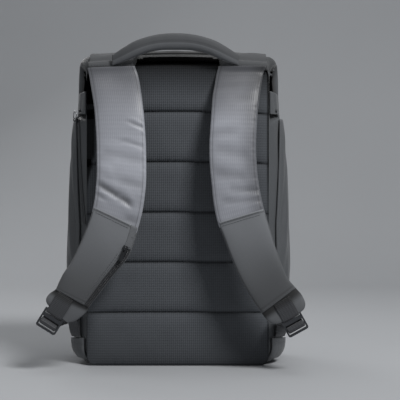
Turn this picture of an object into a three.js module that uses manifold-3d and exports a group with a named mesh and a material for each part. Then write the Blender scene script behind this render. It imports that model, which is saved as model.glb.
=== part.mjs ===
// An anti theft backpack that stands on its base, in millimetres with +Z up.
// The wearer's side faces -Y. The origin is on the floor, under the middle of the whole piece.
import * as THREE from 'three';
import { mergeVertices } from 'three/addons/utils/BufferGeometryUtils.js';
import Module from 'manifold-3d';

const wasm = await Module();
wasm.setup();

// Driving dimensions of the bag
const BODY_HEIGHT = 441;
const BODY_HALF_WIDTH = 153;
const BODY_DEPTH = 132;
const BASE_CORNER = 24;
const TOP_CORNER = 13;
const TOP_ARCH = 7;
const CLOTH = 2.2;
const GAP = 0.4;
const GUSSET_FOLD = 18;
const PIPING = 4;

// Driving dimensions of the back panel
const PANEL_HALF_WIDTH = 126;
const RIM_DROP = 21;
const PANEL_HEIGHT = BODY_HEIGHT - RIM_DROP;
const PANEL_THICKNESS = 11;
const PANEL_EDGE = 4.5;
const PANEL_CORNER = 14;
const QUILT_ROWS = 6;

// Driving dimensions of the yoke and the carry handle
const YOKE_HALF_WIDTH = 124;
const YOKE_DROP = 9;
const YOKE_NOTCH = 54;
const YOKE_CLOTH = 1.6;
const HANDLE_SPAN = 175;
const HANDLE_SHIFT = -3;
const HANDLE_TIP_RISE = 13.5;
const HANDLE_RISE = 26.5;
const HANDLE_TALL = 21;
const HANDLE_DEEP = 15;

// Driving dimensions of the shoulder straps
const STRAP_WIDTH = 65;
const STRAP_THICKNESS = 12;
const STRAP_DROP = 332;
const STRAP_ROOT_OUT = 92;
const STRAP_STAND_OFF = 52;
const STRAP_SWING = { left: 149, right: 142 };
const POCKET_CLOTH = 1.4;
const ZIP_WIDTH = 6;
const ZIP_THICKNESS = 1.6;
const LOOP_TAB_LENGTH = 17;

// Driving dimensions of the webbing and the buckles
const WEBBING_WIDTH = 24;
const WEBBING_THICKNESS = 1.4;
const WEBBING_SHIFT = { left: 12, right: 7 };
const WEBBING_CLEARANCE = 0.5;
const BUCKLE_REACH = 5.8;
const WEBBING_SLACK = 24;
const BUCKLE_BAR = 3;
const BUCKLE_MIDDLE_BAR = 5;
const BUCKLE_RAIL = 2.4;
const BUCKLE_THICKNESS = 4;
const BUCKLE_CORNER = 3;
const ANCHOR_HEIGHT = 38;
const ANCHOR_CLOTH = 2.4;
const ANCHOR_FOOT = 8;
const ANCHOR_LIFT = 1.6;

// Driving dimensions of the side pockets and their small parts
const POCKET_DROP = 95;
const POCKET_TOP = BODY_HEIGHT - POCKET_DROP;
const POCKET_FOOT = 46;
const POCKET_LIFT = 0.9;
const POCKET_BULGE = 3;
const FOLD_HEIGHT = 32;
const FOLD_BOW = 2.5;
const RIVET_RADIUS = 2.6;
const RIVET_THICKNESS = 1.4;
const SLIDER_LENGTH = 8;
const SLIDER_WIDTH = 7;
const SLIDER_THICKNESS = 2.6;
const BAIL_WIRE = 1.1;
const PULL_LENGTH = 18;
const PULL_WIDTH = 5.4;
const PULL_BAR = 1.3;
const PULL_CLEARANCE = 0.4;
const RING_RADIUS = 6;
const RING_WIRE = 0.9;

// Rows of the body from the rim at the back panel to the middle of the front.
// back: share of the depth. flare: share of the way from the rim to the full width.
// rise and drop: the top and the base, as shares of the height. keep: share kept by the front's rings.
const BODY_ROWS = [
  { back: 0.0, flare: 0.0, rise: 0.966, drop: 0.006, keep: 1 },
  { back: 0.04, flare: 0.3, rise: 0.982, drop: 0.002, keep: 1 },
  { back: 0.1, flare: 0.62, rise: 0.994, drop: 0, keep: 1 },
  { back: 0.19, flare: 0.9, rise: 1, drop: 0, keep: 1 },
  { back: 0.245, flare: 0.955, rise: 1, drop: 0, keep: 1 },
  { back: 0.3, flare: 1, rise: 1, drop: 0, keep: 1 },
  { back: 0.44, flare: 1.02, rise: 0.999, drop: 0, keep: 1 },
  { back: 0.58, flare: 1, rise: 0.997, drop: 0, keep: 1 },
  { back: 0.7, flare: 0.93, rise: 0.993, drop: 0.004, keep: 1 },
  { back: 0.73, flare: 0.9, rise: 0.992, drop: 0.005, keep: 1 },
  { back: 0.82, flare: 0.7, rise: 0.984, drop: 0.01, keep: 1 },
  { back: 0.9, flare: 0.35, rise: 0.968, drop: 0.024, keep: 1 },
  { back: 0.95, flare: -0.05, rise: 0.947, drop: 0.042, keep: 1 },
  { back: 0.975, flare: -0.2, rise: 0.94, drop: 0.05, keep: 0.93 },
  { back: 0.997, flare: -0.2, rise: 0.94, drop: 0.05, keep: 0.4 },
];
const BAND_ROWS = BODY_ROWS.slice(0, 9);
const FRONT_ROWS = BODY_ROWS.slice(9);

// Half width of the side at a height, both as shares.
const SIDE_PROFILE = [
  { up: 0, wide: 0.955 },
  { up: 0.08, wide: 0.985 },
  { up: 0.25, wide: 1 },
  { up: 0.45, wide: 0.985 },
  { up: 0.7, wide: 0.965 },
  { up: 0.82, wide: 0.955 },
  { up: 0.92, wide: 0.94 },
  { up: 1, wide: 0.925 },
];

// Rows of a strap, from the yoke to the rounded end.
// down: share of the drop. out: share of the root's place. swing: share of the way out to the end.
// off: share of the stand-off. wide and thick: shares of the pad's size.
const STRAP_ROWS = [
  { down: 0.0, out: 1.0, swing: 0, off: 0.0, wide: 1.0, thick: 0.34 },
  { down: 0.016, out: 1.0, swing: 0, off: 0.01, wide: 1.0, thick: 0.45 },
  { down: 0.06, out: 0.93, swing: 0, off: 0.15, wide: 1.0, thick: 0.8 },
  { down: 0.129, out: 0.885, swing: 0, off: 0.36, wide: 0.99, thick: 1 },
  { down: 0.195, out: 0.85, swing: 0, off: 0.5, wide: 0.98, thick: 1 },
  { down: 0.314, out: 0.815, swing: 0, off: 0.64, wide: 0.98, thick: 1 },
  { down: 0.416, out: 0.815, swing: 0, off: 0.73, wide: 0.98, thick: 1 },
  { down: 0.518, out: 0.84, swing: 0, off: 0.8, wide: 0.98, thick: 1 },
  { down: 0.614, out: 0.87, swing: 0.05, off: 0.86, wide: 0.96, thick: 1 },
  { down: 0.716, out: 0.9, swing: 0.2, off: 0.92, wide: 0.93, thick: 1 },
  { down: 0.8, out: 0.95, swing: 0.36, off: 0.96, wide: 0.91, thick: 1 },
  { down: 0.885, out: 1.0, swing: 0.57, off: 0.99, wide: 0.9, thick: 0.95 },
  { down: 0.949, out: 1.0, swing: 0.81, off: 1.0, wide: 0.9, thick: 0.85 },
  { down: 0.985, out: 1.0, swing: 0.945, off: 1.0, wide: 0.82, thick: 0.7 },
  { down: 1.0, out: 1.0, swing: 1, off: 1.0, wide: 0.6, thick: 0.45 },
];
const SEAM_ROW = 8.25;
const HEM_ROW = 12;
const END_ROW = STRAP_ROWS.length - 1;

// Upright folds of a side pocket.
// back: share of the pocket's width. from and to: shares of its height. deep: share of the bulge.
const POCKET_FOLDS = [
  { back: 0.18, from: 0.3, to: 1.0, deep: 0.8 },
  { back: 0.42, from: 0.1, to: 0.75, deep: 0.9 },
  { back: 0.7, from: 0.35, to: 0.95, deep: 0.7 },
];
const FOLD_HALF_WIDTH = 0.09;

// Shares of the straight side where the outline has points, closer together at the gusset's fold.
const SIDE_STEPS = [0.09, 0.2, 0.32, 0.44, 0.56, 0.68, 0.77, 0.81, 0.829, 0.88, 0.94, 1];

// Colours of the materials
const FINISHES = {
  side_cloth: { color: 0x404347, roughness: 0.7, metalness: 0 },
  panel_cloth: { color: 0x3c3f43, roughness: 0.9, metalness: 0 },
  strap_cloth: { color: 0x7f828a, roughness: 0.55, metalness: 0 },
  matte_cloth: { color: 0x565a5e, roughness: 0.8, metalness: 0 },
  webbing: { color: 0x25282c, roughness: 0.85, metalness: 0 },
  plastic: { color: 0x22252a, roughness: 0.4, metalness: 0 },
  zip: { color: 0x1d1f22, roughness: 0.6, metalness: 0 },
  metal: { color: 0x9a9da0, roughness: 0.3, metalness: 1 },
};

const UP = new THREE.Vector3(0, 0, 1);
const OUT_OF_BACK = new THREE.Vector3(0, -1, 0);
const SIDES = { left: -1, right: 1 };

function lerp(from, to, share) {
  return from + (to - from) * share;
}

function smooth(share) {
  const t = Math.min(1, Math.max(0, share));
  return t * t * (3 - 2 * t);
}

// One column of a table at a place between its rows.
function sample(table, key, column, at) {
  let k = 1;
  while (k < table.length - 1 && table[k][key] < at) k += 1;
  const before = table[k - 1];
  const after = table[k];
  const share = (at - before[key]) / (after[key] - before[key]);
  return lerp(before[column], after[column], Math.min(1, Math.max(0, share)));
}

function point(x, y, z) {
  return new THREE.Vector3(x, y, z);
}

// Solids from points and triangles, always with their faces pointing out

function solid(points, triangles) {
  const position = new Float32Array(points.length * 3);
  points.forEach((p, k) => position.set([p.x, p.y, p.z], k * 3));
  let volume = 0;
  for (const [a, b, c] of triangles) {
    volume += points[a].dot(points[b].clone().cross(points[c]));
  }
  const index = triangles.flatMap(([a, b, c]) => (volume > 0 ? [a, b, c] : [a, c, b]));
  const geometry = new THREE.BufferGeometry();
  geometry.setAttribute('position', new THREE.BufferAttribute(position, 3));
  geometry.setIndex(index);
  geometry.computeVertexNormals();
  return geometry;
}

// A wall between a front and a back surface, each a function of column and row.
function slab(columns, rows, front, back) {
  const points = [];
  const triangles = [];
  const stride = columns + 1;
  for (const surface of [front, back]) {
    for (let j = 0; j <= rows; j += 1) {
      for (let i = 0; i <= columns; i += 1) points.push(surface(i, j));
    }
  }
  const far = stride * (rows + 1);
  const at = (i, j) => j * stride + i;
  for (let j = 0; j < rows; j += 1) {
    for (let i = 0; i < columns; i += 1) {
      const [a, b, c, d] = [at(i, j), at(i + 1, j), at(i + 1, j + 1), at(i, j + 1)];
      triangles.push([a, b, c], [a, c, d], [far + a, far + c, far + b], [far + a, far + d, far + c]);
    }
  }
  const border = [];
  for (let i = 0; i < columns; i += 1) border.push(at(i, 0));
  for (let j = 0; j < rows; j += 1) border.push(at(columns, j));
  for (let i = columns; i > 0; i -= 1) border.push(at(i, rows));
  for (let j = rows; j > 0; j -= 1) border.push(at(0, j));
  border.forEach((a, k) => {
    const b = border[(k + 1) % border.length];
    triangles.push([a, far + a, far + b], [a, far + b, b]);
  });
  return solid(points, triangles);
}

// A solid through sections of equal count, closed by caps or round on itself.
function loft(sections, round = false) {
  const count = sections[0].length;
  const points = sections.flat();
  const triangles = [];
  const steps = round ? sections.length : sections.length - 1;
  for (let s = 0; s < steps; s += 1) {
    const here = s * count;
    const next = ((s + 1) % sections.length) * count;
    for (let k = 0; k < count; k += 1) {
      const l = (k + 1) % count;
      triangles.push([here + k, next + k, next + l], [here + k, next + l, here + l]);
    }
  }
  if (!round) {
    const last = (sections.length - 1) * count;
    const near = points.push(centre(sections[0])) - 1;
    const far = points.push(centre(sections[sections.length - 1])) - 1;
    for (let k = 0; k < count; k += 1) {
      const l = (k + 1) % count;
      triangles.push([near, k, l], [far, last + l, last + k]);
    }
  }
  return solid(points, triangles);
}

function centre(points) {
  const sum = point(0, 0, 0);
  points.forEach((p) => sum.add(p));
  return sum.divideScalar(points.length);
}

// A flat strip along a path, with the direction of its width given at each point.
function ribbon(path, across, width, thickness) {
  const sections = path.map((p, k) => {
    const before = path[Math.max(0, k - 1)];
    const after = path[Math.min(path.length - 1, k + 1)];
    const along = after.clone().sub(before).normalize();
    const side = across[k].clone().addScaledVector(along, -across[k].dot(along)).normalize();
    const out = side.clone().cross(along);
    return [[1, 1], [-1, 1], [-1, -1], [1, -1]].map(([u, v]) => p.clone()
      .addScaledVector(side, (u * width) / 2)
      .addScaledVector(out, (v * thickness) / 2));
  });
  return loft(sections);
}

function toManifold(geometry) {
  const bare = geometry.clone();
  bare.deleteAttribute('normal');
  bare.deleteAttribute('uv');
  const merged = mergeVertices(bare, 1e-4);
  return new wasm.Manifold(new wasm.Mesh({
    numProp: 3,
    vertProperties: merged.attributes.position.array,
    triVerts: Uint32Array.from(merged.index.array),
  }));
}

function join(first, second) {
  return fromManifold(toManifold(first).add(toManifold(second)));
}

function cut(first, second) {
  return fromManifold(toManifold(first).subtract(toManifold(second)));
}

function fromManifold(body) {
  const mesh = body.getMesh();
  const geometry = new THREE.BufferGeometry();
  geometry.setAttribute('position', new THREE.BufferAttribute(mesh.vertProperties, 3));
  geometry.setIndex(new THREE.BufferAttribute(mesh.triVerts, 1));
  geometry.computeVertexNormals();
  return geometry;
}

// Body: its outline and its walls

// Half of the body's outline as shares, from the middle of the base round to the middle of the top.
function halfOutline() {
  const half = [];
  const add = (x, z) => half.push({ out: x / BODY_HALF_WIDTH, up: z / BODY_HEIGHT });
  const corner = (radius, z, start) => {
    for (let k = 1; k <= 4; k += 1) {
      const angle = start + (k / 4) * (Math.PI / 2);
      add(BODY_HALF_WIDTH - radius + radius * Math.cos(angle), z + radius * Math.sin(angle));
    }
  };
  for (let k = 0; k <= 4; k += 1) add((k / 4) * (BODY_HALF_WIDTH - BASE_CORNER), 0);
  corner(BASE_CORNER, BASE_CORNER, -Math.PI / 2);
  for (const step of SIDE_STEPS) {
    add(BODY_HALF_WIDTH, lerp(BASE_CORNER, BODY_HEIGHT - TOP_CORNER, step));
  }
  corner(TOP_CORNER, BODY_HEIGHT - TOP_CORNER, 0);
  for (let k = 1; k <= 4; k += 1) add((1 - k / 4) * (BODY_HALF_WIDTH - TOP_CORNER), BODY_HEIGHT);
  return half;
}

const HALF_OUTLINE = halfOutline();
const OUTLINE = [
  ...HALF_OUTLINE,
  ...HALF_OUTLINE.slice(1, -1).reverse().map(({ out, up }) => ({ out: -out, up })),
];

// A row of the body at any depth.
function rowAt(back) {
  const row = { back };
  for (const column of ['flare', 'rise', 'drop', 'keep']) {
    row[column] = sample(BODY_ROWS, 'back', column, back);
  }
  return row;
}

// The gusset's fold starts just above the side pocket.
const GUSSET_START = (POCKET_TOP + CLOTH) / (BODY_HEIGHT - TOP_ARCH);

// How far the gusset is folded in at a place on the side.
function gussetFold(back, up) {
  const along = smooth((back - 0.01) / 0.08) * smooth((0.27 - back) / 0.08);
  const height = smooth((up - GUSSET_START) / 0.015) * smooth((0.985 - up) / 0.06);
  return GUSSET_FOLD * along * height;
}

function bodyHalfWidth(row, up) {
  const side = BODY_HALF_WIDTH * sample(SIDE_PROFILE, 'up', 'wide', up);
  return lerp(PANEL_HALF_WIDTH, side, row.flare) - gussetFold(row.back, up);
}

function bodyPoint(row, share, inset, depthInset = 0) {
  const low = row.drop * BODY_HEIGHT + inset;
  const top = row.rise * BODY_HEIGHT - inset - TOP_ARCH * share.out ** 2;
  const x = share.out * (bodyHalfWidth(row, share.up) - inset);
  const z = lerp(low, top, share.up);
  const middle = BODY_HEIGHT / 2;
  return point(x * row.keep, row.back * BODY_DEPTH - depthInset, lerp(middle, z, row.keep));
}

// The cloth round the sides, the top and the base.
function bodyBand() {
  const sections = OUTLINE.map((share) => [
    ...BAND_ROWS.map((row) => bodyPoint(row, share, 0)),
    ...[...BAND_ROWS].reverse().map((row) => bodyPoint(row, share, CLOTH)),
  ]);
  return loft(sections, true);
}

// The front, a shallow dish.
function frontPanel() {
  const points = [];
  const triangles = [];
  const count = OUTLINE.length;
  for (const inset of [0, CLOTH]) {
    for (const row of FRONT_ROWS) {
      const deep = row === FRONT_ROWS[0] ? 0 : inset;
      OUTLINE.forEach((share) => points.push(bodyPoint(row, share, inset, deep)));
    }
    points.push(point(0, BODY_DEPTH - inset, BODY_HEIGHT / 2));
  }
  const far = FRONT_ROWS.length * count + 1;
  for (const [start, turn] of [[0, false], [far, true]]) {
    const add = (a, b, c) => triangles.push(turn ? [a, c, b] : [a, b, c]);
    for (let r = 0; r < FRONT_ROWS.length - 1; r += 1) {
      for (let k = 0; k < count; k += 1) {
        const l = (k + 1) % count;
        const here = start + r * count;
        add(here + k, here + l, here + count + l);
        add(here + k, here + count + l, here + count + k);
      }
    }
    const last = start + (FRONT_ROWS.length - 1) * count;
    for (let k = 0; k < count; k += 1) add(last + k, last + ((k + 1) % count), start + far - 1);
  }
  for (let k = 0; k < count; k += 1) {
    const l = (k + 1) % count;
    triangles.push([k, far + k, far + l], [k, far + l, l]);
  }
  return solid(points, triangles);
}

// The piping in the seam between the band and the front.
function frontPiping() {
  const start = BAND_ROWS[BAND_ROWS.length - 1].back * BODY_DEPTH + GAP;
  const end = FRONT_ROWS[0].back * BODY_DEPTH - GAP;
  const row = rowAt((start + end) / 2 / BODY_DEPTH);
  const sections = OUTLINE.map((share) => {
    const inside = bodyPoint(row, share, CLOTH);
    const out = bodyPoint(row, share, 0).sub(inside).normalize();
    return [0, 1, 2, 3, 4, 5].map((k) => {
      const angle = (k / 6) * 2 * Math.PI;
      return inside.clone()
        .addScaledVector(out, (PIPING / 2) * Math.cos(angle) + CLOTH / 2)
        .add(point(0, ((end - start) / 2) * Math.sin(angle), 0));
    });
  });
  return loft(sections, true);
}

// Back panel: a pad with sewn rows

function panelHalfWidth(z) {
  const low = Math.max(0, PANEL_CORNER - z);
  const high = Math.max(0, z - (PANEL_HEIGHT - PANEL_CORNER));
  const cut = Math.max(low, high);
  return PANEL_HALF_WIDTH + 1 - PANEL_CORNER + Math.sqrt(Math.max(0, PANEL_CORNER ** 2 - cut ** 2));
}

function panelThickness(across, z) {
  const place = (z / PANEL_HEIGHT) * QUILT_ROWS;
  const within = place - Math.floor(place);
  const pillow = Math.sqrt(Math.max(0, 1 - Math.abs(2 * within - 1) ** 3));
  const edge = 1 - Math.abs(across) ** 10;
  return PANEL_EDGE + (PANEL_THICKNESS - PANEL_EDGE) * pillow * edge;
}

function backPanel() {
  const steps = [0, 0.05, 0.2, 0.5, 0.8, 0.95];
  const heights = [];
  for (let q = 0; q < QUILT_ROWS; q += 1) {
    steps.forEach((step) => heights.push(((q + step) / QUILT_ROWS) * PANEL_HEIGHT));
  }
  heights.push(PANEL_HEIGHT);
  const columns = [-1, -0.965, -0.86, -0.45, 0.45, 0.86, 0.965, 1];
  const surface = (thickness) => (i, j) => {
    const x = columns[i] * panelHalfWidth(heights[j]);
    const z = heights[j] * (1 - (TOP_ARCH / PANEL_HEIGHT) * (x / BODY_HALF_WIDTH) ** 2);
    return point(x, -GAP - thickness(columns[i], heights[j]), z + 2 * GAP);
  };
  return slab(columns.length - 1, heights.length - 1, surface(panelThickness), surface(() => 0));
}

// Yoke over the top edge, cut back in a notch under the handle

const YOKE_FACE = GAP + PANEL_THICKNESS + GAP;
const YOKE_FOOT = PANEL_HEIGHT - YOKE_DROP;

function topAt(x, back) {
  const row = rowAt(back);
  return row.rise * BODY_HEIGHT - TOP_ARCH * (x / BODY_HALF_WIDTH) ** 2;
}

function yoke() {
  const columns = [-1, -0.85, -0.7, -0.55, -0.48, -0.42, -0.36, -0.2, 0, 0.2, 0.36, 0.42, 0.48, 0.55, 0.7, 0.85, 1];
  const crown = [0.3, 0.19, 0.1, 0.04, 0.0];
  const rows = crown.length + 2;
  const path = (x, offset) => {
    const notch = smooth((Math.abs(x) - YOKE_NOTCH) / (YOKE_NOTCH / 6));
    const line = crown.map((back) => point(x, back * BODY_DEPTH, topAt(x, back) + offset));
    const lip = line[line.length - 1];
    const reach = YOKE_FACE + offset - GAP;
    line.push(point(x, lerp(-1.5, -reach * 0.7, notch), lerp(lip.z - 0.3, lip.z - 0.6, notch)));
    line.push(point(x, lerp(-2.5, -reach, notch), lerp(lip.z - 0.7, lerp(lip.z, YOKE_FOOT, 0.4), notch)));
    line.push(point(x, lerp(-3.5, -reach, notch), lerp(lip.z - 1.2, YOKE_FOOT, notch)));
    return line;
  };
  const surface = (offset) => (i, j) => path(columns[i] * YOKE_HALF_WIDTH, offset)[j];
  return slab(columns.length - 1, rows, surface(GAP + YOKE_CLOTH), surface(GAP));
}

// Carry handle: a padded arch that is sewn flat to the yoke at its two tips

const HANDLE_ROWS = [
  { at: 0, rise: 0, tall: 0.79, deep: 0.3 },
  { at: 0.1, rise: 0.264, tall: 1.04, deep: 0.72 },
  { at: 0.17, rise: 0.49, tall: 1.1, deep: 0.92 },
  { at: 0.27, rise: 0.755, tall: 1.03, deep: 1 },
  { at: 0.36, rise: 0.905, tall: 0.98, deep: 1 },
  { at: 0.5, rise: 1, tall: 0.96, deep: 1 },
];
const HANDLE_TIP = YOKE_FOOT + HANDLE_TIP_RISE;
const HANDLE_FACE = YOKE_FACE + YOKE_CLOTH + GAP;

function handle() {
  const rows = [
    ...HANDLE_ROWS,
    ...HANDLE_ROWS.slice(0, -1).reverse().map((row) => ({ ...row, at: 1 - row.at })),
  ];
  const sections = rows.map((row) => {
    const middle = point(
      HANDLE_SHIFT + (row.at - 0.5) * HANDLE_SPAN,
      -HANDLE_FACE - (HANDLE_DEEP * row.deep) / 2,
      HANDLE_TIP + HANDLE_RISE * row.rise,
    );
    return oval(middle, UP, OUT_OF_BACK, HANDLE_TALL * row.tall, HANDLE_DEEP * row.deep, 12, 2.6);
  });
  return loft(sections);
}

// Points of a rounded section: power 2 is an ellipse, and more is squarer.
function oval(middle, across, out, width, thickness, count, power) {
  const points = [];
  for (let k = 0; k < count; k += 1) {
    const angle = ((k + 0.5) / count) * 2 * Math.PI;
    const [c, s] = [Math.cos(angle), Math.sin(angle)];
    const u = Math.sign(c) * Math.abs(c) ** (2 / power);
    const v = Math.sign(s) * Math.abs(s) ** (2 / power);
    points.push(middle.clone()
      .addScaledVector(across, (u * width) / 2)
      .addScaledVector(out, (v * thickness) / 2));
  }
  return points;
}

// Shoulder straps

const STRAP_TOP = YOKE_FOOT - 2 * GAP;
const STRAP_POWER = 4;

// The middle line of a strap's pad and the sizes along it.
function strapPath(name) {
  const sign = SIDES[name];
  const rootDepth = YOKE_FACE + (STRAP_THICKNESS * STRAP_ROWS[0].thick) / 2;
  const points = STRAP_ROWS.map((row) => {
    const out = STRAP_ROOT_OUT * row.out + (STRAP_SWING[name] - STRAP_ROOT_OUT) * row.swing;
    const depth = rootDepth + STRAP_STAND_OFF * row.off;
    return point(sign * out, -depth, STRAP_TOP - STRAP_DROP * row.down);
  });
  return { name, sign, curve: new THREE.CatmullRomCurve3(points, false, 'centripetal') };
}

// Place, directions and size of a strap at a row number, whole or not.
function strapFrame(strap, row) {
  const share = Math.min(1, Math.max(0, row / END_ROW));
  const place = strap.curve.getPoint(share);
  const along = UP.clone().negate().lerp(strap.curve.getTangent(share), smooth(row - 0.5));
  along.normalize();
  const across = along.clone().cross(OUT_OF_BACK).normalize();
  if (across.x * strap.sign < 0) across.negate();
  const out = across.clone().cross(along).normalize();
  if (out.y > 0) out.negate();
  const k = Math.min(END_ROW - 1, Math.floor(share * END_ROW));
  const part = share * END_ROW - k;
  const width = STRAP_WIDTH * lerp(STRAP_ROWS[k].wide, STRAP_ROWS[k + 1].wide, part);
  const thickness = STRAP_THICKNESS * lerp(STRAP_ROWS[k].thick, STRAP_ROWS[k + 1].thick, part);
  return { place, along, across, out, width, thickness };
}

// A point on or above the front face of a strap, with its place across from -1, inner, to 1, outer.
function onStrap(strap, row, across, lift) {
  const frame = strapFrame(strap, row);
  const crown = (1 - Math.abs(across) ** STRAP_POWER) ** (1 / STRAP_POWER);
  return frame.place.clone()
    .addScaledVector(frame.across, (across * frame.width) / 2)
    .addScaledVector(frame.out, (frame.thickness / 2) * crown + lift);
}

function strapPad(strap) {
  const sections = [];
  for (let k = 0; k <= END_ROW * 2; k += 1) {
    const frame = strapFrame(strap, k / 2);
    const { place, across, out, width, thickness } = frame;
    sections.push(oval(place, across, out, width, thickness, 16, STRAP_POWER));
  }
  return loft(sections);
}

// A cloth on the front face of a strap, between two rows and two places across.
function strapCloth(strap, from, to, inner, outer, lift, thickness, columns = 8) {
  const rows = Math.max(2, Math.round((to - from) * 2));
  const at = (i, j, height) => onStrap(
    strap,
    lerp(from, to, j / rows),
    lerp(inner, outer, i / columns),
    height,
  );
  return slab(
    columns,
    rows,
    (i, j) => at(i, j, lift + thickness),
    (i, j) => at(i, j, lift),
  );
}

// Where the strap's length passes from one row to another, for a length in millimetres.
function rowAfter(strap, row, length) {
  let here = row;
  let gone = 0;
  let place = strapFrame(strap, here).place;
  while (gone < length && here < END_ROW) {
    here += 0.02;
    const next = strapFrame(strap, here).place;
    gone += next.distanceTo(place);
    place = next;
  }
  return here;
}

// Buckles, with their bars set out along the strap from the top bar's middle

const LOOP_RADIUS = Math.hypot(BUCKLE_BAR, BUCKLE_THICKNESS) / 2 + WEBBING_CLEARANCE + WEBBING_THICKNESS / 2;
const LOOP_REACH = LOOP_RADIUS + WEBBING_THICKNESS / 2 + WEBBING_CLEARANCE;
const SLOT_ONE_END = LOOP_REACH;
const SLOT_TWO_START = SLOT_ONE_END + BUCKLE_MIDDLE_BAR;
const LOWER_BAR = SLOT_TWO_START + LOOP_REACH + 2;
const SLOT_THREE_END = LOWER_BAR + LOOP_REACH + 1;
const SLOT_WIDTH = WEBBING_WIDTH + 2 * WEBBING_CLEARANCE;

function buckleFrame(strap) {
  const frame = strapFrame(strap, END_ROW);
  const { along, across, out } = frame;
  const place = frame.place.clone()
    .addScaledVector(along, BUCKLE_REACH)
    .addScaledVector(across, WEBBING_SHIFT[strap.name])
    .addScaledVector(out, 1);
  return { place, along, across, out };
}

function pointList(pairs) {
  return pairs.map(([x, y]) => new THREE.Vector2(x, y));
}

function buckle() {
  const half = SLOT_WIDTH / 2 + BUCKLE_RAIL;
  const bar = BUCKLE_BAR / 2;
  const foot = -SLOT_THREE_END - BUCKLE_BAR;
  const outline = [[half, bar], [-half, bar]];
  for (const sign of [-1, 1]) {
    for (let k = 0; k <= 3; k += 1) {
      const angle = ((sign < 0 ? k : 3 - k) / 3) * (Math.PI / 2);
      const x = half - BUCKLE_CORNER * (1 - Math.cos(angle));
      outline.push([sign * x, foot + BUCKLE_CORNER * (1 - Math.sin(angle))]);
    }
  }
  const shape = new THREE.Shape(pointList(outline));
  const plate = new THREE.ExtrudeGeometry(shape, { depth: BUCKLE_THICKNESS, bevelEnabled: false });
  plate.translate(0, 0, -BUCKLE_THICKNESS / 2);
  const slots = [
    [-bar, -SLOT_ONE_END],
    [-SLOT_TWO_START, -LOWER_BAR + bar],
    [-LOWER_BAR - bar, -SLOT_THREE_END],
  ];
  return slots.reduce((frame, [high, low]) => {
    const slot = new THREE.BoxGeometry(SLOT_WIDTH, high - low, BUCKLE_THICKNESS * 2);
    return cut(frame, slot.translate(0, (high + low) / 2, 0));
  }, plate);
}

// A point in a buckle's own frame: down the strap, out of it and across it.
function inBuckle(frame, down, out, across = 0) {
  return frame.place.clone()
    .addScaledVector(frame.along, down)
    .addScaledVector(frame.out, out)
    .addScaledVector(frame.across, across);
}

// Points of a turn round a bar, from one angle to another. Angle 0 is down the strap.
function turn(frame, bar, from, to) {
  const points = [];
  const steps = 6;
  for (let k = 0; k <= steps; k += 1) {
    const angle = lerp(from, to, k / steps);
    points.push(inBuckle(frame, bar + LOOP_RADIUS * Math.cos(angle), LOOP_RADIUS * Math.sin(angle)));
  }
  return points;
}

// From the hem over the strap's end, round the top bar and back to the strap.
function upperWebbing(strap) {
  const frame = buckleFrame(strap);
  const start = strapFrame(strap, HEM_ROW);
  const lift = GAP + WEBBING_THICKNESS / 2;
  const path = [0.12, 0.6, 1.1].map((step) => {
    const here = strapFrame(strap, HEM_ROW + step);
    return here.place.clone()
      .addScaledVector(here.across, WEBBING_SHIFT[strap.name])
      .addScaledVector(here.out, start.thickness / 2 + lift);
  });
  path.push(inBuckle(frame, -BUCKLE_REACH * 0.6, LOOP_RADIUS + 0.4));
  path.push(...turn(frame, 0, Math.PI / 2, -Math.PI / 2));
  path.push(inBuckle(frame, -BUCKLE_REACH + 1, -LOOP_RADIUS));
  return ribbon(path, path.map(() => frame.across), WEBBING_WIDTH, WEBBING_THICKNESS);
}

// Anchor tabs on the flared corners, over the ends of the lower webbing

const ANCHOR_FROM = 0.02;
const ANCHOR_TO = 0.24;
const WEBBING_BACK = 0.1;

// A point on the side cloth at a depth and a height, or lifted off it.
function onSide(sign, back, z, lift) {
  const row = rowAt(back);
  const low = row.drop * BODY_HEIGHT;
  const top = row.rise * BODY_HEIGHT - TOP_ARCH;
  const up = (z - low) / (top - low);
  const share = { out: outAt(up), up };
  const step = 0.01;
  const here = bodyHalfWidth(row, up);
  const ahead = bodyHalfWidth(rowAt(back + step), up);
  const slope = point(ahead - here, step * BODY_DEPTH, 0).normalize();
  const x = share.out * here;
  return point(sign * (x + slope.y * lift), back * BODY_DEPTH - slope.x * lift, z);
}

// Share of the half width that the outline has at a height, less than 1 in the round corners.
function outAt(up) {
  const z = up * BODY_HEIGHT;
  const low = Math.max(0, BASE_CORNER - z);
  const high = Math.max(0, z - (BODY_HEIGHT - TOP_CORNER));
  const radius = low > 0 ? BASE_CORNER : TOP_CORNER;
  const cut = Math.max(low, high);
  return (BODY_HALF_WIDTH - radius + Math.sqrt(Math.max(0, radius ** 2 - cut ** 2))) / BODY_HALF_WIDTH;
}

function anchorTab(sign) {
  const backs = [0, 0.25, 0.5, 0.75, 1].map((share) => lerp(ANCHOR_FROM, ANCHOR_TO, share));
  const heights = [0, 0.17, 0.4, 0.67, 1].map((share) => lerp(ANCHOR_FOOT, ANCHOR_HEIGHT, share));
  const surface = (lift) => (i, j) => {
    const z = heights[j] - (j === heights.length - 1 ? i * 0.8 : 0);
    return onSide(sign, backs[i], z, lift);
  };
  const [columns, rows] = [backs.length - 1, heights.length - 1];
  return slab(columns, rows, surface(ANCHOR_LIFT + ANCHOR_CLOTH), surface(ANCHOR_LIFT));
}

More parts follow.
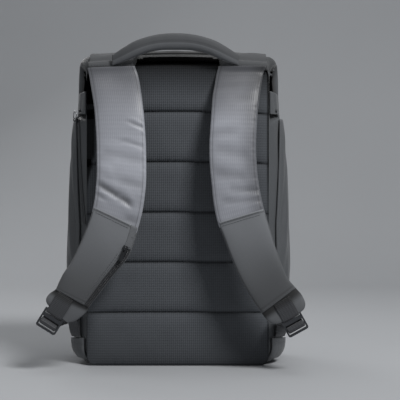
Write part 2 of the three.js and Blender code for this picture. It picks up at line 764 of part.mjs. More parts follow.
// From the buckle's lower bar, slack behind the strap's end and down the side to the anchor tab.
function lowerWebbing(strap) {
  const frame = buckleFrame(strap);
  const { sign } = strap;
  const half = (ANCHOR_TO - ANCHOR_FROM) / 4;
  const beside = (height, lift) => onSide(sign, WEBBING_BACK, height, lift);
  const foot = beside(ANCHOR_HEIGHT + GAP, ANCHOR_LIFT + ANCHOR_CLOTH / 2);
  const flare = onSide(sign, WEBBING_BACK + half, ANCHOR_HEIGHT, 0);
  const footAcross = flare.sub(onSide(sign, WEBBING_BACK - half, ANCHOR_HEIGHT, 0)).normalize();
  const clear = POCKET_LIFT + CLOTH + POCKET_BULGE;
  const tail = inBuckle(frame, LOWER_BAR - 2.6 * LOOP_RADIUS, -1.9 * LOOP_RADIUS);
  const wrap = turn(frame, LOWER_BAR, 1.15 * Math.PI, 0);
  const exit = inBuckle(frame, LOWER_BAR + LOOP_RADIUS * 0.95, -1.3 * LOOP_RADIUS);
  const route = new THREE.CatmullRomCurve3([
    exit,
    inBuckle(frame, LOWER_BAR - LOOP_RADIUS, -WEBBING_SLACK * 0.6, -WEBBING_SLACK * 0.1),
    inBuckle(frame, BUCKLE_BAR, -WEBBING_SLACK * 1.25, -WEBBING_SLACK * 0.5),
    beside(ANCHOR_HEIGHT + WEBBING_SLACK * 1.8, clear + WEBBING_SLACK * 0.9),
    beside(ANCHOR_HEIGHT + WEBBING_SLACK * 1.25, clear + WEBBING_SLACK * 0.25),
    beside(ANCHOR_HEIGHT + WEBBING_SLACK * 0.7, clear),
    beside(ANCHOR_HEIGHT + WEBBING_SLACK * 0.2, clear * 0.7),
    foot,
  ], false, 'centripetal');
  const run = route.getPoints(16);
  const path = [tail, ...wrap, ...run];
  const across = path.map((p, k) => {
    const share = smooth((k - wrap.length - 3) / (run.length - 8));
    return frame.across.clone().lerp(footAcross, share).normalize();
  });
  return ribbon(path, across, WEBBING_WIDTH, WEBBING_THICKNESS);
}

function lerpPoint(from, to, share) {
  return from.clone().lerp(to, share);
}

// Side pockets, folded tabs and rivets

// Shares of a side pocket's width where its cloth has points.
const POCKET_STEPS = [0, 0.04, 0.09, 0.15, 0.21, 0.28, 0.36, 0.46, 0.57, 0.69, 0.82, 0.92, 1];
const POCKET_FRONT = 0.67;
const POCKET_REAR = { top: 0.15, foot: 0.06 };
const SIDE_ZIP_TOP = POCKET_TOP + GAP;
const SIDE_ZIP_FOOT = POCKET_TOP - 150;
const SIDE_ZIP_INSET = 0.032;

// The rear edge of a side pocket slants back along the zip, and then runs straight down.
function pocketRear(z) {
  const share = Math.min(1, Math.max(0, (z - SIDE_ZIP_FOOT) / (SIDE_ZIP_TOP - SIDE_ZIP_FOOT)));
  return lerp(POCKET_REAR.foot, POCKET_REAR.top, share);
}

function pocketLift(across, height) {
  const round = Math.sqrt(Math.max(0, Math.sin(Math.PI * across) * Math.sin(Math.PI * height)));
  let fold = 0;
  for (const row of POCKET_FOLDS) {
    const near = Math.max(0, 1 - Math.abs(across - row.back) / FOLD_HALF_WIDTH);
    const along = smooth((height - row.from) * 6) * smooth((row.to - height) * 6);
    fold += row.deep * near * along;
  }
  return POCKET_BULGE * (round + fold);
}

function sidePocket(sign) {
  const rows = 16;
  const surface = (lift) => (i, j) => {
    const height = j / rows;
    const z = lerp(POCKET_FOOT, POCKET_TOP, height);
    const back = lerp(pocketRear(z), POCKET_FRONT, POCKET_STEPS[i]);
    return onSide(sign, back, z, lift(POCKET_STEPS[i], height));
  };
  const inner = (across, height) => POCKET_LIFT + Math.min(2.4, pocketLift(across, height) * 0.8);
  const outer = (across, height) => POCKET_LIFT + CLOTH + pocketLift(across, height);
  return slab(POCKET_STEPS.length - 1, rows, surface(outer), surface(inner));
}

// A stiff folded tab that bridges the fold in the gusset, from the panel's edge to the side cloth.
const FOLD_FOOT = POCKET_TOP + POCKET_BULGE + CLOTH;
const FOLD_NEAR = 0.012;
const FOLD_FAR = 0.245;

// A point of the tab at a share of its width and a height, lifted off the line between its edges.
function onFold(sign, share, z, lift) {
  const near = onSide(sign, FOLD_NEAR, z, GAP);
  const far = onSide(sign, FOLD_FAR, z, 1.5 * GAP);
  const out = far.clone().sub(near).normalize().cross(UP).multiplyScalar(sign);
  const bow = FOLD_BOW * Math.sin(Math.PI * share);
  return { place: lerpPoint(near, far, share).addScaledVector(out, lift + bow), out };
}

function sideFold(sign) {
  const steps = [0, 0.3, 0.6, 0.85, 1];
  const rows = 4;
  const surface = (lift) => (i, j) => {
    const [low, high] = [0.06 * steps[i], 1 - 0.09 * steps[i]];
    return onFold(sign, steps[i], FOLD_FOOT + FOLD_HEIGHT * lerp(low, high, j / rows), lift).place;
  };
  return slab(steps.length - 1, rows, surface(CLOTH), surface(0));
}

// A rivet low on the folded tab.
function rivet(sign) {
  const height = FOLD_FOOT + RIVET_RADIUS + 3;
  const { place, out } = onFold(sign, 0.45, height, CLOTH + GAP + RIVET_THICKNESS / 2);
  const geometry = new THREE.CylinderGeometry(RIVET_RADIUS * 0.8, RIVET_RADIUS, RIVET_THICKNESS, 12);
  return { geometry, place, turned: new THREE.Quaternion().setFromUnitVectors(point(0, 1, 0), out) };
}

// Zip of the left side pocket, along its rear edge

function zipBack(z) {
  return pocketRear(z) - SIDE_ZIP_INSET;
}

function sideZip(sign) {
  const rows = 8;
  const half = ZIP_WIDTH / 2 / BODY_DEPTH / 1.5;
  const surface = (lift) => (i, j) => {
    const z = lerp(SIDE_ZIP_FOOT, SIDE_ZIP_TOP, j / rows);
    return onSide(sign, zipBack(z) + (i - 1) * half, z, lift);
  };
  return slab(2, rows, surface(GAP + ZIP_THICKNESS), surface(GAP));
}

// Zip sliders, each with a bail that a pull's bar passes through.
// In a slider's own frame X runs across the zip, Y runs along it and Z stands off it.

const BAIL_HOLE = 2 * (PULL_BAR / Math.SQRT2 + PULL_CLEARANCE);
const PIN_HEIGHT = SLIDER_THICKNESS + BAIL_HOLE / 2;

function slider() {
  const [w, l] = [SLIDER_WIDTH / 2, SLIDER_LENGTH / 2];
  const body = new THREE.Shape(pointList([
    [-w * 0.6, -l], [w * 0.6, -l], [w, l * 0.3], [w * 0.8, l], [-w * 0.8, l], [-w, l * 0.3],
  ]));
  const plate = new THREE.ExtrudeGeometry(body, { depth: SLIDER_THICKNESS, bevelEnabled: false });
  const half = BAIL_HOLE / 2;
  const leg = half + BAIL_WIRE;
  const arch = new THREE.Shape(pointList([
    [-leg, -0.5], [leg, -0.5], [leg, BAIL_HOLE + 0.3], [half, BAIL_HOLE + BAIL_WIRE],
    [-half, BAIL_HOLE + BAIL_WIRE], [-leg, BAIL_HOLE + 0.3],
  ]));
  arch.holes.push(new THREE.Path(pointList([[-half, 0], [-half, BAIL_HOLE], [half, BAIL_HOLE], [half, 0]])));
  const bail = new THREE.ExtrudeGeometry(arch, { depth: BAIL_WIRE * 1.6, bevelEnabled: false });
  bail.translate(0, 0, -BAIL_WIRE * 0.8);
  bail.rotateX(Math.PI / 2);
  bail.rotateZ(Math.PI / 2);
  bail.translate(0, 0, SLIDER_THICKNESS);
  return join(plate, bail);
}

// A pull tab: a flat plate with a window round the bail, hanging from its bar down the zip.
function pullTab() {
  const half = PULL_WIDTH / 2;
  const bar = PULL_BAR / 2;
  const side = BAIL_WIRE * 0.8 + PULL_CLEARANCE;
  const windowEnd = BAIL_HOLE / 2 + BAIL_WIRE + PULL_CLEARANCE + 2.6;
  const shape = new THREE.Shape(pointList([
    [-half, bar], [-half, -PULL_LENGTH + 2], [-half + 1.4, -PULL_LENGTH],
    [half - 1.4, -PULL_LENGTH], [half, -PULL_LENGTH + 2], [half, bar],
  ]));
  shape.holes.push(new THREE.Path(pointList([
    [-side, -bar], [side, -bar], [side, -windowEnd], [-side, -windowEnd],
  ])));
  const geometry = new THREE.ExtrudeGeometry(shape, { depth: PULL_BAR, bevelEnabled: false });
  return geometry.translate(0, 0, -PULL_BAR / 2);
}

// A round pull that stands up from its bail, with the wire's middle on the pin line.
function ringPull() {
  const ring = new THREE.TorusGeometry(RING_RADIUS, RING_WIRE, 6, 20);
  ring.rotateZ(-Math.PI / 2);
  return ring.translate(0, RING_RADIUS, 0);
}

// Assembly

const backpack = new THREE.Group();
const assembly = new THREE.Group();
backpack.add(assembly);

function add(name, geometry, finish, parent = assembly) {
  const mesh = new THREE.Mesh(geometry, new THREE.MeshStandardMaterial(FINISHES[finish]));
  mesh.name = name;
  parent.add(mesh);
  return mesh;
}

add('body_band', bodyBand(), 'side_cloth');
add('front_panel', frontPanel(), 'side_cloth');
add('front_piping', frontPiping(), 'side_cloth');
add('back_panel', backPanel(), 'panel_cloth');
add('top_yoke', yoke(), 'matte_cloth');
add('carry_handle', handle(), 'matte_cloth');

const straps = { left: strapPath('left'), right: strapPath('right') };

for (const [name, sign] of Object.entries(SIDES)) {
  const strap = straps[name];
  add(`${name}_strap_pad`, strapPad(strap), 'strap_cloth');
  add(`${name}_upper_webbing`, upperWebbing(strap), 'webbing');
  const frame = buckleFrame(strap);
  const fastener = add(`${name}_buckle`, buckle(), 'plastic');
  fastener.position.copy(frame.place);
  const down = frame.along.clone().negate();
  fastener.quaternion.setFromRotationMatrix(
    new THREE.Matrix4().makeBasis(down.clone().cross(frame.out), down, frame.out),
  );
  add(`${name}_lower_webbing`, lowerWebbing(strap), 'webbing');
  add(`${name}_anchor_tab`, anchorTab(sign), 'side_cloth');
  add(`${name}_side_pocket`, sidePocket(sign), 'side_cloth');
  add(`${name}_side_fold`, sideFold(sign), 'side_cloth');
  const stud = rivet(sign);
  const button = add(`${name}_rivet`, stud.geometry, 'plastic');
  button.position.copy(stud.place);
  button.quaternion.copy(stud.turned);
}

// Pockets and zip on the straps
const CLOTH_LIFT = 1.5 * GAP;
const POCKET_EDGE = 0.93;
const ZIP_OUTER = -0.74;
const ZIP_INNER = -0.97;
const SEAM_CLEARANCE = 0.03;
const POCKET_START = SEAM_ROW + SEAM_CLEARANCE;
const tabEnd = rowAfter(straps.left, SEAM_ROW, LOOP_TAB_LENGTH);
add(
  'left_zip_pocket',
  strapCloth(
    straps.left,
    POCKET_START,
    HEM_ROW,
    ZIP_OUTER + SEAM_CLEARANCE,
    POCKET_EDGE,
    CLOTH_LIFT,
    POCKET_CLOTH,
  ),
  'matte_cloth',
);
add(
  'right_card_pocket',
  strapCloth(straps.right, POCKET_START, HEM_ROW, -POCKET_EDGE, POCKET_EDGE, CLOTH_LIFT, POCKET_CLOTH),
  'matte_cloth',
);
add(
  'strap_loop_tab',
  strapCloth(straps.left, POCKET_START, tabEnd, ZIP_INNER, ZIP_OUTER, CLOTH_LIFT, POCKET_CLOTH, 2),
  'matte_cloth',
);
add(
  'strap_zip_tape',
  strapCloth(straps.left, tabEnd + SEAM_CLEARANCE, HEM_ROW, ZIP_INNER, ZIP_OUTER, CLOTH_LIFT, ZIP_THICKNESS, 2),
  'zip',
);

// A slider on a zip at a place, with directions along the zip and out of it.
function addSlider(name, place, along, out) {
  const holder = new THREE.Group();
  holder.position.copy(place);
  const upAlong = along.clone().negate();
  holder.quaternion.setFromRotationMatrix(
    new THREE.Matrix4().makeBasis(upAlong.clone().cross(out), upAlong, out),
  );
  assembly.add(holder);
  add(name, slider(), 'metal', holder);
  return holder;
}

const zipMiddle = (ZIP_INNER + ZIP_OUTER) / 2;
const strapSliderRow = rowAfter(straps.left, tabEnd, SLIDER_LENGTH / 2 + 2);
const strapSliderFrame = strapFrame(straps.left, strapSliderRow);
const strapHolder = addSlider(
  'strap_zip_slider',
  onStrap(straps.left, strapSliderRow, zipMiddle, CLOTH_LIFT + ZIP_THICKNESS + 2 * GAP),
  strapSliderFrame.along,
  strapSliderFrame.out,
);
const pull = add('strap_zip_pull', pullTab(), 'metal', strapHolder);
pull.position.set(0, 0, PIN_HEIGHT);

add('side_zip_tape', sideZip(SIDES.left), 'zip');
const sideHeight = SIDE_ZIP_TOP - SLIDER_LENGTH / 4;
const sidePlace = onSide(SIDES.left, zipBack(sideHeight), sideHeight, GAP + ZIP_THICKNESS + 2 * GAP);
const sideOut = sidePlace.clone().sub(onSide(SIDES.left, zipBack(sideHeight), sideHeight, 0)).normalize();
const sideHolder = addSlider('side_zip_slider', sidePlace, UP.clone().negate(), sideOut);
const ring = add('ring_pull', ringPull(), 'metal', sideHolder);
ring.position.set(0, 0, PIN_HEIGHT);

// The origin goes to the floor under the middle of the box.
backpack.updateMatrixWorld(true);
const box = new THREE.Box3().setFromObject(assembly, true);
assembly.position.set(-(box.min.x + box.max.x) / 2, -(box.min.y + box.max.y) / 2, -box.min.z);
backpack.updateMatrixWorld(true);

export default backpack;
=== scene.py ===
"""Looks of an anti theft backpack that stands on its base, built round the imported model."""
import math

import bpy
import numpy as np
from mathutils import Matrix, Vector


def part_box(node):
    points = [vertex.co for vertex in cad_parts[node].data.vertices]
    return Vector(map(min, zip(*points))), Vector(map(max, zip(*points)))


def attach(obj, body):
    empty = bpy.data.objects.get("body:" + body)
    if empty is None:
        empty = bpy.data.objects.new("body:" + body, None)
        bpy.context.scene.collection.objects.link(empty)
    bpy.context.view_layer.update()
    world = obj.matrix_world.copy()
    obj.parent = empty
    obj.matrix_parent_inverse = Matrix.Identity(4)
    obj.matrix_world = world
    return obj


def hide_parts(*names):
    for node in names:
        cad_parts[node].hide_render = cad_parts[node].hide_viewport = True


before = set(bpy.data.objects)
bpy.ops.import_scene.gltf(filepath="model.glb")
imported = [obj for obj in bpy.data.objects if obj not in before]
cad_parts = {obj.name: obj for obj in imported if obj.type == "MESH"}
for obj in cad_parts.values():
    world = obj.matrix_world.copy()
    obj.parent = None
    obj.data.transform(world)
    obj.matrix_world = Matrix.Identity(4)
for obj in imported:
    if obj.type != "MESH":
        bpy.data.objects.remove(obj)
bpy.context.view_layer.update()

# The bag's own frame in millimetres: x from its middle, y from the rim at the back panel, z from the floor
band_low, band_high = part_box("body_band")
ORIGIN = np.array([(band_low.x + band_high.x) / 2, band_low.y, 0.0])
CAMERA_X, CAMERA_BACK, CAMERA_HEIGHT = 31.0, 1400.0, 231.0
PIXELS_PER_UNIT = 1000.0
FRAME_SIDE = 400.0


def photo(px, py, depth):
    """The point at a depth that shows at a pixel of the photograph."""
    share = (CAMERA_BACK + depth) / PIXELS_PER_UNIT
    half = FRAME_SIDE / 2
    return np.array([CAMERA_X + (px - half) * share, depth, CAMERA_HEIGHT + (half - py) * share])


def to_row(points):
    return np.asarray(points, float) * 0.001 + ORIGIN


# Camera, before anything else
camera_data = bpy.data.cameras.new("camera")
camera = bpy.data.objects.new("camera", camera_data)
bpy.context.scene.collection.objects.link(camera)
camera.location = Vector(to_row([CAMERA_X, -CAMERA_BACK, CAMERA_HEIGHT]))
camera.rotation_euler = (math.radians(90), 0, 0)
camera_data.lens = camera_data.sensor_width * PIXELS_PER_UNIT / FRAME_SIDE
bpy.context.scene.camera = camera


# Small maths
TOWARDS, UPWARD = np.array([0.0, -1.0, 0.0]), np.array([0.0, 0.0, 1.0])


def lerp(a, b, t):
    return a + (b - a) * t


def smooth(t):
    t = np.clip(t, 0.0, 1.0)
    return t * t * (3 - 2 * t)


def bump(x, middle, width):
    """A round hump of height 1 at middle that ends a width away."""
    t = np.clip(np.abs(np.asarray(x, float) - middle) / width, 0, 1)
    return (1 - t * t) ** 2


def hill(x, middle, width):
    """A bell of height 1 round a middle."""
    return np.exp(-((x - middle) / width) ** 2)


def stacked(*parts):
    """Grids of points from one grid or number for each coordinate."""
    return np.stack(np.broadcast_arrays(*parts), axis=-1)


def rounded(count, wide, deep):
    """Places from -1 to 1 across and through a section with soft corners, squarer with smaller powers."""
    angles = (np.arange(count) + 0.5) / count * 2 * math.pi
    c, s = np.cos(angles), np.sin(angles)
    return np.sign(c) * np.abs(c) ** wide, np.sign(s) * np.abs(s) ** deep


def spline(xs, ys, x):
    """A smooth curve through points, for any x."""
    xs = np.asarray(xs, float)
    ys = np.asarray(ys, float)
    x = np.clip(np.asarray(x, float), xs[0], xs[-1])
    flat = ys.reshape(len(xs), -1)
    step = np.diff(xs)[:, None]
    slope = np.diff(flat, axis=0) / step
    inner = (slope[1:] * step[:-1] + slope[:-1] * step[1:]) / (step[1:] + step[:-1])
    tangent = np.vstack([slope[:1], inner, slope[-1:]])
    k = np.clip(np.searchsorted(xs, x, side="right") - 1, 0, len(xs) - 2)
    h = (xs[k + 1] - xs[k])[..., None]
    t = (x[..., None] - xs[k][..., None]) / h
    a = (2 * t**3 - 3 * t**2 + 1) * flat[k] + (t**3 - 2 * t**2 + t) * h * tangent[k]
    b = (-2 * t**3 + 3 * t**2) * flat[k + 1] + (t**3 - t**2) * h * tangent[k + 1]
    return (a + b).reshape(x.shape + ys.shape[1:])


def unit(v):
    v = np.asarray(v, float)
    return v / np.maximum(np.linalg.norm(v, axis=-1, keepdims=True), 1e-9)


class Ripples:
    """Smooth random folds over two coordinates in millimetres, the same on every run."""

    def __init__(self, seed, waves, count=14):
        local = np.random.default_rng(seed)
        self.rows = []
        for _ in range(count):
            length_u = local.uniform(*waves[0])
            length_v = local.uniform(*waves[1])
            signs = local.choice([-1, 1], 2)
            self.rows.append((signs[0] / length_u, signs[1] / length_v, local.uniform(0, 6.283)))

    def __call__(self, u, v):
        total = sum(np.sin(6.283 * (a * u + b * v) + c) for a, b, c in self.rows)
        return total / math.sqrt(len(self.rows))


# Materials, all procedural
class Graph:
    """The nodes of one material."""

    def __init__(self, name):
        self.material = bpy.data.materials.new(name)
        self.material.use_nodes = True
        self.nodes = self.material.node_tree.nodes
        self.links = self.material.node_tree.links
        self.shader = self.nodes["Principled BSDF"]
        self.coordinates = self.nodes.new("ShaderNodeTexCoord").outputs

    def give(self, socket, value):
        """Sets a socket to a number or a colour, or links it to an output."""
        if isinstance(value, bpy.types.NodeSocket):
            self.links.new(value, socket)
        else:
            socket.default_value = value

    def maths(self, operation, first, second=0.0):
        node = self.nodes.new("ShaderNodeMath")
        node.operation = operation
        self.give(node.inputs[0], first)
        self.give(node.inputs[1], second)
        return node.outputs[0]

    def add(self, first, second):
        return self.maths("ADD", first, second)

    def times(self, first, second):
        return self.maths("MULTIPLY", first, second)

    def noise(self, scale, detail=3.0):
        node = self.nodes.new("ShaderNodeTexNoise")
        node.inputs["Scale"].default_value = scale
        node.inputs["Detail"].default_value = detail
        self.links.new(self.coordinates["Object"], node.inputs["Vector"])
        return node.outputs["Fac"]

    def mix(self, factor, first, second, blend="MIX"):
        node = self.nodes.new("ShaderNodeMix")
        node.data_type = "RGBA"
        node.blend_type = blend
        for socket, value in (("Factor", factor), ("A", first), ("B", second)):
            self.give(node.inputs[socket], value)
        return node.outputs["Result"]

    def bumps(self, height, distance):
        relief = self.nodes.new("ShaderNodeBump")
        relief.inputs["Distance"].default_value = distance
        self.give(relief.inputs["Height"], height)
        self.give(self.shader.inputs["Normal"], relief.outputs[0])

    def finish(self, **values):
        """Sets sockets of the shader. Each name has _ for a space."""
        for socket, value in values.items():
            self.give(self.shader.inputs[socket.replace("_", " ")], value)
        return self.material


def waves(graph, periods, weave):
    """Height of a weave from 0 to 1, with periods in metres."""
    split = graph.nodes.new("ShaderNodeSeparateXYZ")
    graph.give(split.inputs[0], graph.coordinates["UV"])
    u, v = split.outputs["X"], split.outputs["Y"]
    turns = [2 * math.pi / period for period in periods]
    across = graph.maths("SINE", graph.times(u, turns[0]))
    along = graph.maths("SINE", graph.times(v, turns[1]))
    if weave == "ribs":
        mixed = graph.add(graph.times(along, 0.7), graph.times(across, 0.3))
    elif weave == "mesh":
        mixed = graph.add(graph.times(across, 0.6), graph.times(along, 0.35))
    elif weave == "twill":
        diagonal = graph.maths("SINE", graph.times(graph.add(u, v), turns[1]))
        mixed = graph.add(graph.times(diagonal, 0.6), graph.times(across, 0.3))
    else:
        mixed = graph.times(across, along)
    return graph.add(graph.times(mixed, 0.5), 0.5)


def fabric(name, color, weave, periods, height, roughness, sheen, spread, contrast=0.25, gloss=0.4):
    """A woven cloth. height is the weave's bump in metres, and contrast how much its valleys darken."""
    graph = Graph(name)
    add, times = graph.add, graph.times
    weave_height = waves(graph, periods, weave)
    fuzz = graph.noise(1400.0, 2.0)
    patches = graph.noise(16.0, 4.0)
    graph.bumps(add(weave_height, times(fuzz, 0.3)), height)
    depth = add(times(weave_height, contrast), 1 - contrast * 0.6)
    mottle = add(times(patches, 2 * spread), 1 - spread)
    flecks = add(times(fuzz, 0.3), 0.85)
    # The tone attribute scales the colour; it carries the painted shade and painted highlights given to
    # each piece.
    tone = graph.nodes.new("ShaderNodeAttribute")
    tone.attribute_name = "tone"
    shade = times(times(times(depth, mottle), flecks), tone.outputs["Fac"])
    return graph.finish(
        Base_Color=graph.mix(1.0, (*color, 1.0), shade, "MULTIPLY"),
        Roughness=add(times(patches, 0.16), roughness - 0.08),
        Sheen_Weight=sheen, Sheen_Roughness=0.5, Specular_IOR_Level=gloss,
    )


def hard(name, color, metallic, roughness, height=0.00004):
    """Moulded plastic or metal, with a fine grain and faint wear."""
    graph = Graph(name)
    graph.bumps(graph.noise(900.0, 3.0), height)
    wear = graph.noise(90.0, 5.0)
    dark = (*[0.85 * c for c in color], 1)
    light = (*[min(1.0, 1.2 * c) for c in color], 1)
    return graph.finish(
        Base_Color=graph.mix(wear, dark, light), Metallic=metallic,
        Roughness=graph.add(graph.times(wear, 0.2), roughness - 0.1),
    )


# Cloths, each with the values of fabric in their order
CLOTHS = {
    "side": ("side_cloth", (0.076, 0.081, 0.087), "plain", (0.0011, 0.0011), 0.00008, 0.52, 0.15, 0.14),
    "panel": ("panel_cloth", (0.078, 0.084, 0.093), "mesh", (0.0028, 0.0036), 0.0004,
              0.9, 0.02, 0.1, 0.35, 0.15),
    "matte": ("matte_cloth", (0.105, 0.11, 0.118), "twill", (0.0014, 0.0014), 0.0001, 0.78, 0.15, 0.1),
    "strap": ("strap_cloth", (0.262, 0.27, 0.3), "mesh", (0.0027, 0.0062), 0.00012, 0.42, 0.25, 0.07, 0.1),
    "lower": ("lower_cloth", (0.105, 0.11, 0.118), "twill", (0.0012, 0.0014), 0.00008, 0.7, 0.15, 0.08),
    "backing": ("backing_mesh", (0.05, 0.05, 0.057), "mesh", (0.0022, 0.0022), 0.0004, 0.9, 0.1, 0.1, 0.5),
    "webbing": ("webbing_cloth", (0.035, 0.037, 0.042), "ribs", (0.004, 0.0021), 0.0004,
                0.6, 0.2, 0.08, 0.5),
    # A near-black cloth put on faces where only deep shadow falls: painted shadow.
    "recess_shadow": ("painted_recess_shadow", (0.006, 0.006, 0.007), "plain", (0.0011, 0.0011), 0.00005,
               1.0, 0.0, 0.1, 0.2, 0.05),
    "thread": ("thread", (0.06, 0.064, 0.07), "ribs", (0.0006, 0.0006), 0.00005, 0.6, 0.2, 0.1),
    "zip": ("zip_tape_cloth", (0.02, 0.021, 0.024), "ribs", (0.001, 0.001), 0.0001, 0.6, 0.1, 0.1),
}
MATERIALS = {key: fabric(*row) for key, row in CLOTHS.items()}
MATERIALS["coil"] = hard("zip_coil", (0.02, 0.021, 0.024), 0.0, 0.35)
MATERIALS["plastic"] = hard("moulded_plastic", (0.022, 0.024, 0.028), 0.0, 0.36)
MATERIALS["dark_metal"] = hard("dark_metal", (0.05, 0.052, 0.056), 0.8, 0.34, 0.00002)
MATERIALS["bright_metal"] = hard("ring_metal", (0.5, 0.51, 0.52), 1.0, 0.25, 0.00002)


# Meshes from grids, given in the bag's own frame
def make(name, points, faces, uvs, material, slot, nodes=(), tone=None):
    """A piece of the bag from points in millimetres. tone lightens or darkens its cloth at each point,
    mostly as painted shade and painted highlights.
    """
    points = np.asarray(points, float)
    mesh = bpy.data.meshes.new(name)
    mesh.from_pydata(to_row(points).tolist(), [], faces)
    mesh.validate()
    layer = mesh.uv_layers.new(name="UVMap")
    layer.data.foreach_set("uv", np.asarray(uvs, np.float32).ravel())
    values = np.ones(len(points), np.float32) if tone is None else np.asarray(tone, np.float32).ravel()
    attribute = mesh.attributes.new("tone", "FLOAT", "POINT")
    attribute.data.foreach_set("value", values)
    mesh.polygons.foreach_set("use_smooth", [True] * len(mesh.polygons))
    mesh.materials.append(MATERIALS[material])
    piece = bpy.data.objects.new(name, mesh)
    bpy.context.scene.collection.objects.link(piece)
    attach(piece, "bag")
    if nodes:
        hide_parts(*nodes)
    return piece


def paint_recess_shadow(piece, limit=0.1):
    """Gives the faces whose tone is below a limit a near-black material, the painted shadow of a deep fold.
    """
    mesh = piece.data
    mesh.materials.append(MATERIALS["recess_shadow"])
    tone = np.empty(len(mesh.vertices), np.float32)
    mesh.attributes["tone"].data.foreach_get("value", tone)
    for face in mesh.polygons:
        if tone[list(face.vertices)].mean() < limit:
            face.material_index = len(mesh.materials) - 1


def outward(points, faces, corners):
    """Turns the faces of a closed shape so that they point out."""
    points = np.asarray(points, float)
    middle = points.mean(0)
    volume = 0.0
    for face in faces:
        a = points[face[0]] - middle
        for k in range(1, len(face) - 1):
            volume += np.dot(a, np.cross(points[face[k]] - middle, points[face[k + 1]] - middle))
    if volume < 0:
        faces = [face[::-1] for face in faces]
        corners = [corner[::-1] for corner in corners]
    return faces, [uv for corner in corners for uv in corner]


def quads(rows, columns, start=0, wrap=False):
    """Faces of a grid, and the row and column of each corner."""
    faces, corners = [], []
    last = columns if wrap else columns - 1
    for j in range(rows - 1):
        for i in range(last):
            n = (i + 1) % columns
            faces.append([start + j * columns + i, start + j * columns + n,
                          start + (j + 1) * columns + n, start + (j + 1) * columns + i])
            corners.append([(j, i), (j, i + 1), (j + 1, i + 1), (j + 1, i)])
    return faces, corners


def slab(name, front, back, uv, material, slot, **options):
    """A wall between two grids of the same size."""
    rows, columns = front.shape[:2]
    points = np.vstack([front.reshape(-1, 3), back.reshape(-1, 3)])
    far = rows * columns
    faces, corners = quads(rows, columns)
    back_faces, back_corners = quads(rows, columns, far)
    faces += [face[::-1] for face in back_faces]
    corners += [corner[::-1] for corner in back_corners]
    ring = [(0, i) for i in range(columns)] + [(j, columns - 1) for j in range(1, rows)]
    ring += [(rows - 1, i) for i in range(columns - 2, -1, -1)] + [(j, 0) for j in range(rows - 2, 0, -1)]
    for k, (j, i) in enumerate(ring):
        m, n = ring[(k + 1) % len(ring)]
        a, b = j * columns + i, m * columns + n
        faces.append([b, a, far + a, far + b])
        corners.append([(m, n), (j, i), (j, i), (m, n)])
    uv_of = [[uv[j][i] for j, i in corner] for corner in corners]
    faces, uvs = outward(points, faces, uv_of)
    tone = options.pop("tone", None)
    if tone is not None:
        tone = np.concatenate([np.ravel(tone), np.ravel(tone)])
    return make(name, points, faces, uvs, material, slot, tone=tone, **options)


def tube(name, sections, uv, material, slot, loop=False, **options):
    """A solid through closed sections. uv has one more column than the sections, for the seam."""
    rows, columns = sections.shape[:2]
    if loop:
        sections = np.concatenate([sections, sections[:1]])
        rows += 1
    points = sections.reshape(-1, 3)
    faces, corners = quads(rows, columns, 0, True)
    uv_of = [[uv[j][i] for j, i in corner] for corner in corners]
    if loop:
        faces = [[v % ((rows - 1) * columns) for v in face] for face in faces]
        points = points[:(rows - 1) * columns]
    else:
        for j, turned in ((0, True), (rows - 1, False)):
            centre = len(points)
            points = np.vstack([points, sections[j].mean(0)])
            for i in range(columns):
                face = [j * columns + i, j * columns + (i + 1) % columns, centre]
                faces.append(face[::-1] if turned else face)
                corner = [uv[j][i], uv[j][i + 1], uv[j][i]]
                uv_of.append(corner[::-1] if turned else corner)
    tone = options.pop("tone", None)
    if tone is not None:
        tone = np.concatenate([np.ravel(tone), np.ones(len(points) - np.size(tone))])
    faces, uvs = outward(points, faces, uv_of)
    return make(name, points, faces, uvs, material, slot, tone=tone, **options)


def lengths(path):
    gaps = np.linalg.norm(np.diff(path, axis=0), axis=1)
    return np.concatenate([[0], np.cumsum(gaps)])


def metre_uv(across, along):
    """UV grid in metres from widths and lengths in millimetres."""
    grid = np.stack(np.meshgrid(across, along), axis=-1) * 0.001
    return grid.tolist()


def join_meshes(name, chunks, material, slot):
    """One piece from several small meshes of points and faces."""
    points, faces, uvs = [], [], []
    start = 0
    for chunk_points, chunk_faces in chunks:
        points.extend(chunk_points)
        for face in chunk_faces:
            faces.append([start + v for v in face])
            uvs.extend([(chunk_points[v][0] * 0.001, chunk_points[v][2] * 0.001) for v in face])
        start += len(chunk_points)
    make(name, points, faces, uvs, material, slot)


def capsule(start, end, out, radius, flat=0.7):
    """A short rounded thread from start to end, flattened along out."""
    along = unit(end - start)
    side = unit(np.cross(along, out))
    points = []
    rows = [(-0.1, 0.35), (0.12, 0.9), (0.5, 1.0), (0.88, 0.9), (1.1, 0.35)]
    for at, size in rows:
        centre = start + (end - start) * at
        for k in range(6):
            angle = k / 6 * 2 * math.pi
            points.append(centre + radius * size * (side * math.cos(angle) + out * flat * math.sin(angle)))
    faces, _ = quads(len(rows), 6, 0, True)
    faces = [face[::-1] for face in faces]
    last = (len(rows) - 1) * 6
    faces += [[0, 1, 2, 3, 4, 5], [last + k for k in (5, 4, 3, 2, 1, 0)]]
    return points, faces


def stitch_line(path, outs, length=3.0, gap=1.1, radius=0.42):
    """Threads along a path of points, standing on the surface whose directions out are given."""
    at = lengths(path)
    count = int(at[-1] / (length + gap))
    chunks = []
    for k in range(count):
        begin = k * (length + gap) + gap / 2
        ends = [np.array([np.interp(s, at, path[:, c]) for c in range(3)]) for s in (begin, begin + length)]
        out = unit(np.array([np.interp(begin, at, outs[:, c]) for c in range(3)]))
        chunks.append(capsule(ends[0] + out * 0.12, ends[1] + out * 0.12, out, radius))
    return chunks


